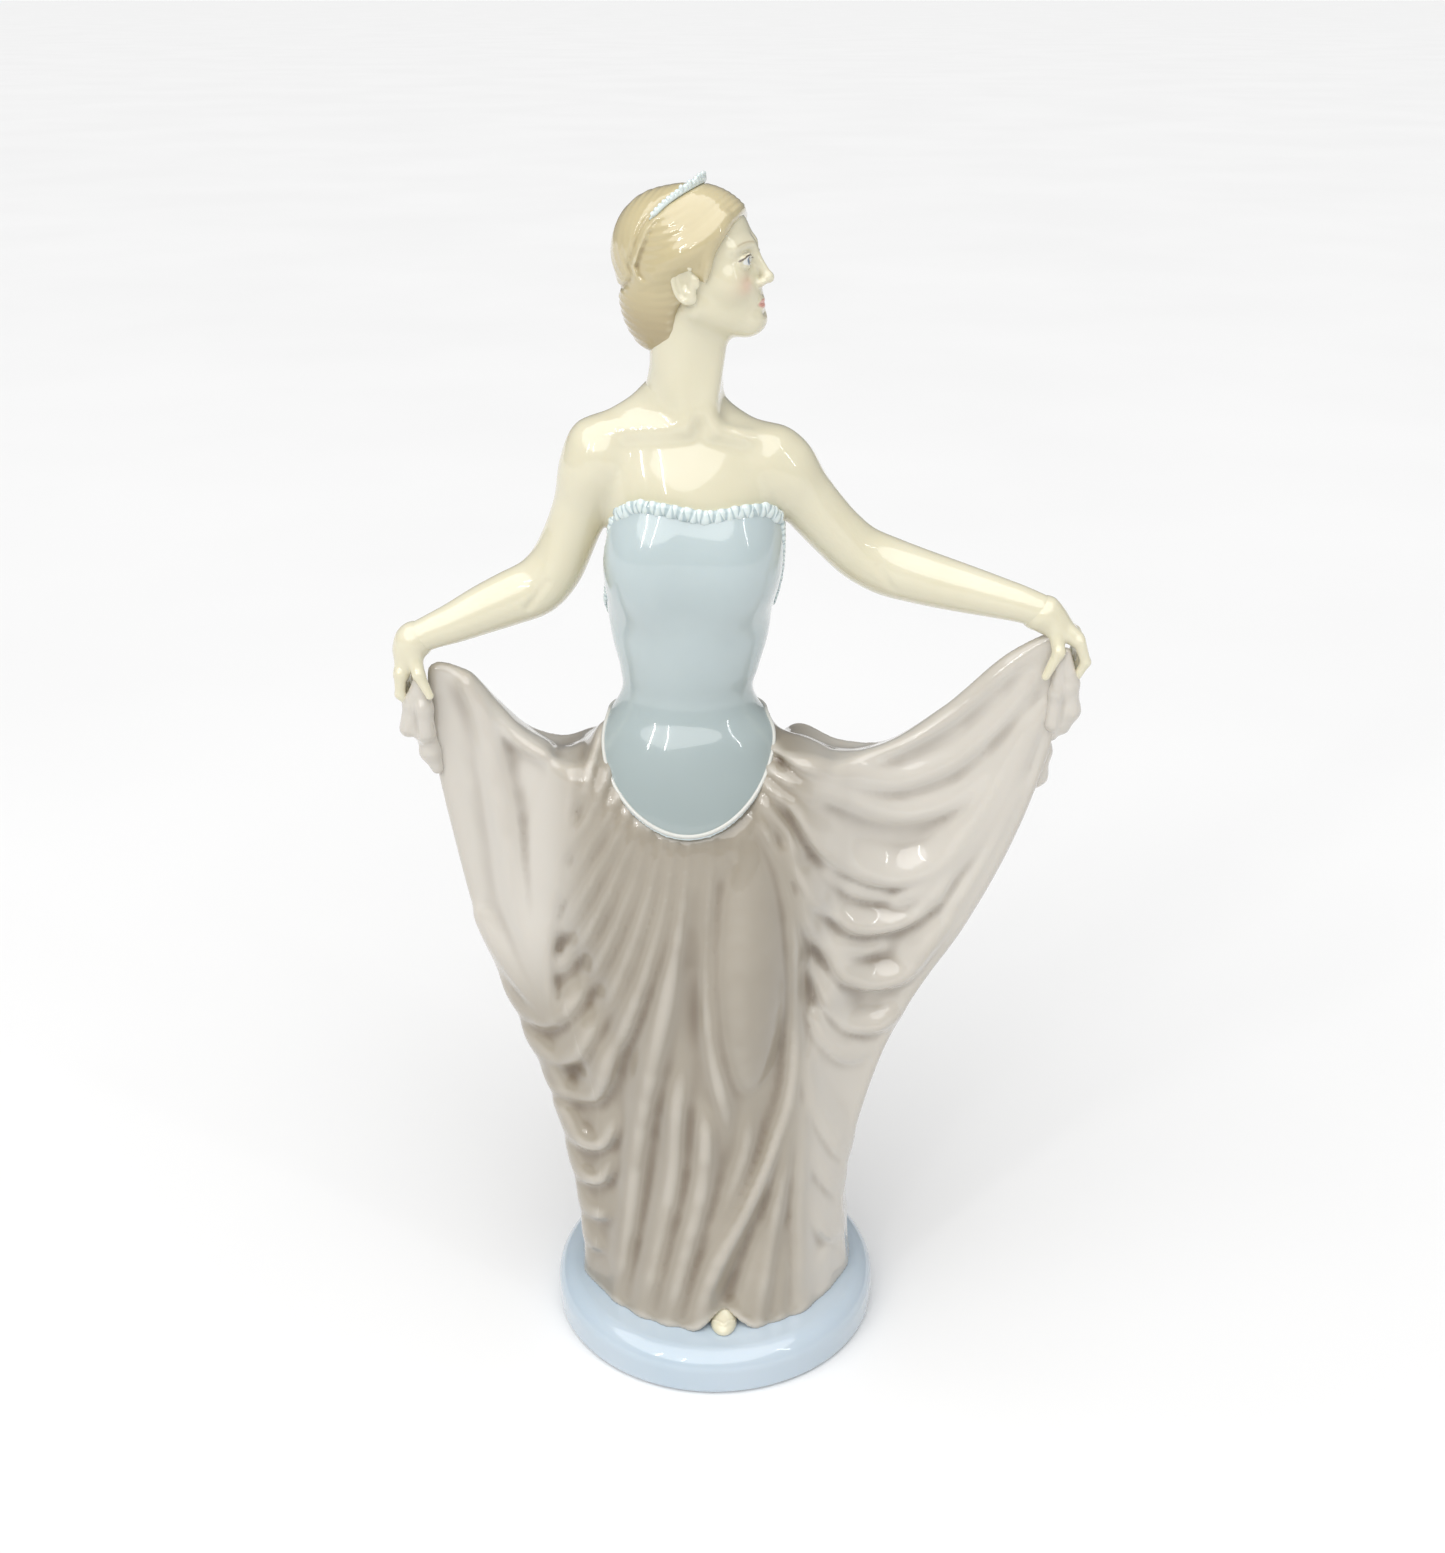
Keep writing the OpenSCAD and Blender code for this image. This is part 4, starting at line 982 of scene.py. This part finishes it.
def on_trunk(angles, heights, proud):
    """Points on the torso at given angles and heights."""
    cx, a, cy, b = rows_at(TORSO, np.asarray(heights, float))
    base = np.stack([cx + (a + proud) * np.sin(angles), cy - (b + proud) * np.cos(angles), heights], 1)
    # The bust stands out from the plain oval, so points are pushed out onto it.
    for centre in ((-14.0, -9.5, 215.0), (3.6, -9.5, 215.0)):
        for _ in range(6):
            d = ball(base.T, centre, (8.0 + proud, 7.0 + proud, 9.5 + proud))
            base[:, 1] += np.minimum(d, 0.0)
    return base


def ruffle(name, first, last, lift, node, size):
    """A narrow frill along the top of the bodice, crimped in small uneven folds."""
    rng = np.random.default_rng(11)
    t = np.radians(np.linspace(first, last, 900) + CHEST_TURN)
    line = on_trunk(t, bodice_top(t) + lift, BODICE_T + 0.3)
    run = np.concatenate([[0.0], np.cumsum(np.linalg.norm(np.diff(line, axis=0), axis=1))])
    jitter = np.interp(run, np.linspace(0, run[-1], 90), rng.uniform(-0.9, 0.9, 90))
    beat = 2 * math.pi * run / 1.35 + 1.5 * jitter
    line[:, 2] += 0.12 * np.sin(0.5 * beat)
    radii = size * (0.96 + 0.07 * np.sin(beat) + 0.04 * np.sin(0.37 * beat))
    radii *= smooth(run / 1.5) * smooth((run[-1] - run) / 1.5) * 0.9 + 0.1
    points, quads = sweep_cord(line, radii, 0.55, 16)
    piece = build(name, points, quads, [node], TRIM)
    # Pooled glaze and painted shade in the troughs of the crimps, thinned glaze and a painted highlight on
    # their crests.
    tint(piece, "hollow", np.repeat(0.05 * (0.3 - np.sin(beat)), 16))


def piping():
    t = np.radians(np.linspace(0, 360, 360, endpoint=False))
    line = on_trunk(t, waist_edge(t) + 0.3, BODICE_T + 0.05)
    points, quads = sweep_cord(line, np.full(len(line), 0.5), 1.0, 12, closed=True)
    piece = build("waist_piping", points, quads, ["waist_piping"], PIPING)
    tint(piece, "hollow", np.zeros(len(points)))


# ---- tiara ----
def tiara_line(u, proud):
    """A line over the crown just before the chignon; u runs from -1 at one side to 1 at the other."""
    centre = np.array(CRANIUM[0])
    radii = np.array(CRANIUM[1]) + 1.3
    z = centre[2] + radii[2] - 0.3 - 5.2 * u ** 2
    y = roll_seam(z) - 0.9
    left = 1 - ((y - centre[1]) / radii[1]) ** 2 - ((z - centre[2]) / radii[2]) ** 2
    x = np.sign(u) * radii[0] * np.sqrt(np.maximum(left - left[np.abs(u).argmin()], 0.0))
    line = np.stack([x, y, z], 1)
    return centre + (line - centre) * (1 + proud / radii[1])


def tiara():
    u = np.linspace(-1, 1, 160)
    radii = 0.66 * (0.3 + 0.7 * smooth((1 - np.abs(u)) / 0.12))
    points, quads = sweep_cord(head_world(tiara_line(u, 0.1)), radii, 1.4, 12)
    piece = build("tiara_band", points, quads, ["tiara_band"], TRIM)
    tint(piece, "hollow", np.zeros(len(points)))
    # A row of beads along the band, with a second and a third row towards the crown.
    step = 0.16
    lo = (-22.0, -16.0, 286.0)
    p = axes(lo, (12.0, 16.0, 302.4), step)
    q = head_local(p)
    f = np.full(q[0].shape, 5.0, F)
    for row, (first, size, proud) in enumerate(((14, 0.85, 0.6), (8, 0.7, 1.15), (2, 0.55, 1.6))):
        for k in range(-first, first + 1):
            if row and (k + row) % 2:
                continue
            x, y, z = tiara_line(np.array([0.0, k / 15.0]), proud)[1]
            r = size * (1.0 - 0.024 * abs(k))
            f = smin(f, ball(q, (x, y - 0.2, z), (r, r * 0.85, r)), 0.12)
    carved("tiara_beads", "tiara_beads", TRIM, f, lo, step, 0, 4)


# ---- cloth ends, slipper, plinth ----
def cloth_end(name, node, lo, hi, ribs, dents=()):
    """A hanging end of cloth: soft ribs blended together, with hollows pressed in."""
    step = 0.35
    p = axes(lo, hi, step)
    f = None
    for rib in ribs:
        one = limb(p, rib, 1.5)
        f = one if f is None else smin(f, one, 1.6)
    for dent in dents:
        f = smax(f, -limb(p, dent, 0.8), 0.9)
    piece, points = carved(name, node, SKIRT, f, lo, step)
    # Painted light: the cloth ends are painted paler, as the held-out cloth is.
    tint(piece, "painted_light_and_shade", lifted(points))


def cloth_ends():
    cloth_end("cloth_end_right", "right_tail", (-81, -16, 158), (-60, 2, 192),
              [[(-70.5, -8.4, 187, 1.2), (-72.4, -8.2, 181, 2), (-73.6, -8, 174.5, 2.3)],
               [(-69.4, -8.4, 186, 1.2), (-69.6, -9, 180, 2.2), (-69.6, -9, 173.5, 2.4)],
               [(-71, -5, 184, 1.6), (-71, -5, 172.5, 2.6)],
               [(-69.8, -7, 175, 2.2), (-69, -7, 168, 2.4), (-67.6, -6.6, 163.5, 1.6)]],
              [[(-71.6, -11, 184, 0.2), (-71.6, -10.8, 171, 0.8)]])
    cloth_end("cloth_end_left", "left_tail", (72, -16, 162), (94, 4, 198),
              [[(83.2, -8.4, 194, 1.2), (84.8, -8, 186, 2.2), (85.2, -7.6, 179, 2.6),
                (84, -7, 174.6, 2)],
               [(81.4, -9, 192, 1), (81.6, -9.2, 184, 1.7), (81.4, -8.6, 176, 2.2)],
               [(84, -4.6, 190, 1.2), (84.4, -4.4, 178, 2.4)],
               [(82.6, -6.6, 176, 2.4), (81.4, -6.4, 172.4, 1.9)]],
              [[(83.4, -11.4, 190, 0.2), (83.2, -10.8, 175, 0.8)]])
    cloth_end("cloth_end_left_low", "left_lower_tail", (68, -14, 148), (88, 6, 180),
              [[(80.2, -5, 176, 1.4), (80, -4.6, 167, 2.4), (79.2, -4.4, 160.5, 2.6),
                (77.6, -4, 157.4, 1.6)],
               [(77.4, -6.6, 174, 1.2), (76.6, -6.4, 163, 1.9), (76, -6, 158, 1.6)],
               [(79.2, -1.8, 172, 1.2), (78.6, -1.8, 160, 2.2)]],
              [[(78.6, -8.8, 172, 0.2), (78, -8.4, 158, 0.7)]])


def slipper():
    """The toe under the hem, with a ribbon across it in a shallow V."""
    step = 0.3
    lo = (-6.0, -42.0, 11.0)
    p = axes(lo, (10.0, -20.0, 22.0), step)
    toe, toe_size = (2.3, -29.8, 12.6), (3.6, 5.8, 2.7)
    f = smin(ball(p, toe, toe_size), ball(p, (2.6, -25.0, 14.0), (3.2, 5.0, 3.4)), 2.0)
    ribbon = []
    for u in np.linspace(-0.8, 0.8, 9):
        v = 0.5 * abs(u) - 0.72
        share = (u, v, math.sqrt(max(1 - u * u - v * v, 0)))
        ribbon.append((*(c + r * t for c, r, t in zip(toe, toe_size, share)), 0.32))
    f = smax(smin(f, limb(p, ribbon, 0.4), 0.4), 12.0 - p[2], 0.4)
    carved("slipper", "slipper", SKIN, f, lo, step, 1, 6)


def plinth():
    r, _, h = np.array(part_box("plinth")[1]) / MM
    turn = np.radians(np.linspace(-90, 0, 12))
    rise = np.radians(np.linspace(0, 90, 24))
    shoulder = 5.4
    profile = [(3.5, 1.2), (r - 7.0, 1.2), (r - 7.6, 0.3), (r - 7.2, 0.0), (r - 3.6, 0.0)]
    profile += [(r - 1.8 + 1.8 * math.cos(a), 1.8 + 1.8 * math.sin(a)) for a in turn[3:]]
    profile += [(r - shoulder + shoulder * math.cos(a), h - shoulder + shoulder * math.sin(a)) for a in rise]
    profile += [(r * 0.7, h + 0.02), (r * 0.4, h), (8.0, h), (8.0, h - 2.6), (r - 8.0, h - 2.6),
                (r - 5.0, h - 5.0), (r - 5.0, 3.8), (3.5, 3.8)]
    profile = np.array(profile)
    count = 256
    angle = 2 * math.pi * np.arange(count) / count
    points = np.stack([profile[None, :, 0] * np.cos(angle)[:, None],
                       profile[None, :, 0] * np.sin(angle)[:, None],
                       np.broadcast_to(profile[None, :, 1], (count, len(profile)))], -1).reshape(-1, 3)
    n = len(profile)
    i, k = np.arange(count)[:, None], np.arange(n)[None, :]
    j, m = (i + 1) % count, (k + 1) % n
    quads = np.stack(np.broadcast_arrays(i * n + k, j * n + k, j * n + m, i * n + m), -1).reshape(-1, 4)
    piece = build("plinth", points, quads, ["plinth"], BASE)
    tint(piece, "hollow", np.zeros(len(points)))


skirt()
body()
hands()
head()
hair()
bodice()
ruffle("neckline_trim", -64, 64, -0.7, "neckline_trim", 1.7)
ruffle("back_trim", 64, 296, -0.2, "back_trim", 1.1)
piping()
tiara()
cloth_ends()
slipper()
plinth()


# ---- stage ----
def stage():
    """A plain white table top, far larger than the view."""
    half = 30.0
    corners = [(-half, -half, 0.0), (half, -half, 0.0), (half, half, 0.0), (-half, half, 0.0)]
    mesh = bpy.data.meshes.new("floor")
    mesh.from_pydata(corners, [], [(0, 1, 2, 3)])
    floor = bpy.data.objects.new("floor", mesh)
    bpy.context.scene.collection.objects.link(floor)
    material, tree, shader = node_tree("floor_paper")
    colour = mottled(tree, (0.83, 0.83, 0.83), (0.85, 0.85, 0.85), 3.0)
    tree.links.new(colour, shader.inputs["Base Color"])
    shader.inputs["Roughness"].default_value = 0.9
    mesh.materials.append(material)


def area_light(name, place, aim, size, size_y, power, colour=(1, 1, 1)):
    data = bpy.data.lights.new(name, "AREA")
    data.shape = "RECTANGLE"
    data.size = size
    data.size_y = size_y
    data.energy = power
    data.color = colour
    lamp = bpy.data.objects.new(name, data)
    bpy.context.scene.collection.objects.link(lamp)
    lamp.location = place
    lamp.visible_camera = False
    direction = np.array(aim) - np.array(place)
    lamp.rotation_euler = (math.acos(-direction[2] / np.linalg.norm(direction)), 0.0,
                           math.atan2(direction[1], direction[0]) - math.pi / 2)


def sky(strength):
    """Dim even air for the light, with plain white behind everything."""
    world = bpy.data.worlds.new("studio")
    bpy.context.scene.world = world
    world.use_nodes = True
    tree = world.node_tree
    path = tree.nodes.new("ShaderNodeLightPath")
    span = tree.nodes.new("ShaderNodeMapRange")
    span.inputs["To Min"].default_value = strength
    span.inputs["To Max"].default_value = 1.0
    tree.links.new(path.outputs["Is Camera Ray"], span.inputs["Value"])
    tree.links.new(span.outputs["Result"], tree.nodes["Background"].inputs["Strength"])
    tree.nodes["Background"].inputs["Color"].default_value = (1.0, 1.0, 1.0, 1.0)


def lights():
    centre = (0.0, 0.0, 0.16)
    ceiling = bpy.data.lights.new("ceiling", "SUN")
    ceiling.energy = 3.2
    ceiling.angle = math.radians(85)
    lamp = bpy.data.objects.new("ceiling", ceiling)
    lamp.rotation_euler = (math.radians(24), math.radians(-8), 0.0)
    bpy.context.scene.collection.objects.link(lamp)
    area_light("window", (-0.80, -0.95, 0.90), centre, 0.04, 0.5, 1.5, (1.0, 0.99, 0.97))
    area_light("window_beside", (-0.50, -1.20, 0.95), centre, 0.03, 0.5, 0.9, (1.0, 0.99, 0.97))
    area_light("tube", (0.9, -0.7, 0.9), centre, 0.03, 0.6, 0.8, (0.97, 0.98, 1.0))
    sky(0.2)


def camera():
    data = bpy.data.cameras.new("camera")
    data.sensor_fit = "VERTICAL"
    data.sensor_height = 36.0
    data.lens = 41.6
    eye = bpy.data.objects.new("camera", data)
    bpy.context.scene.collection.objects.link(eye)
    eye.location = (0.002, -0.408, 0.340)
    eye.rotation_euler = (math.radians(90 - 24.03), 0.0, 0.0)
    bpy.context.scene.camera = eye


bpy.context.scene.view_settings.view_transform = "Standard"
stage()
lights()
camera()
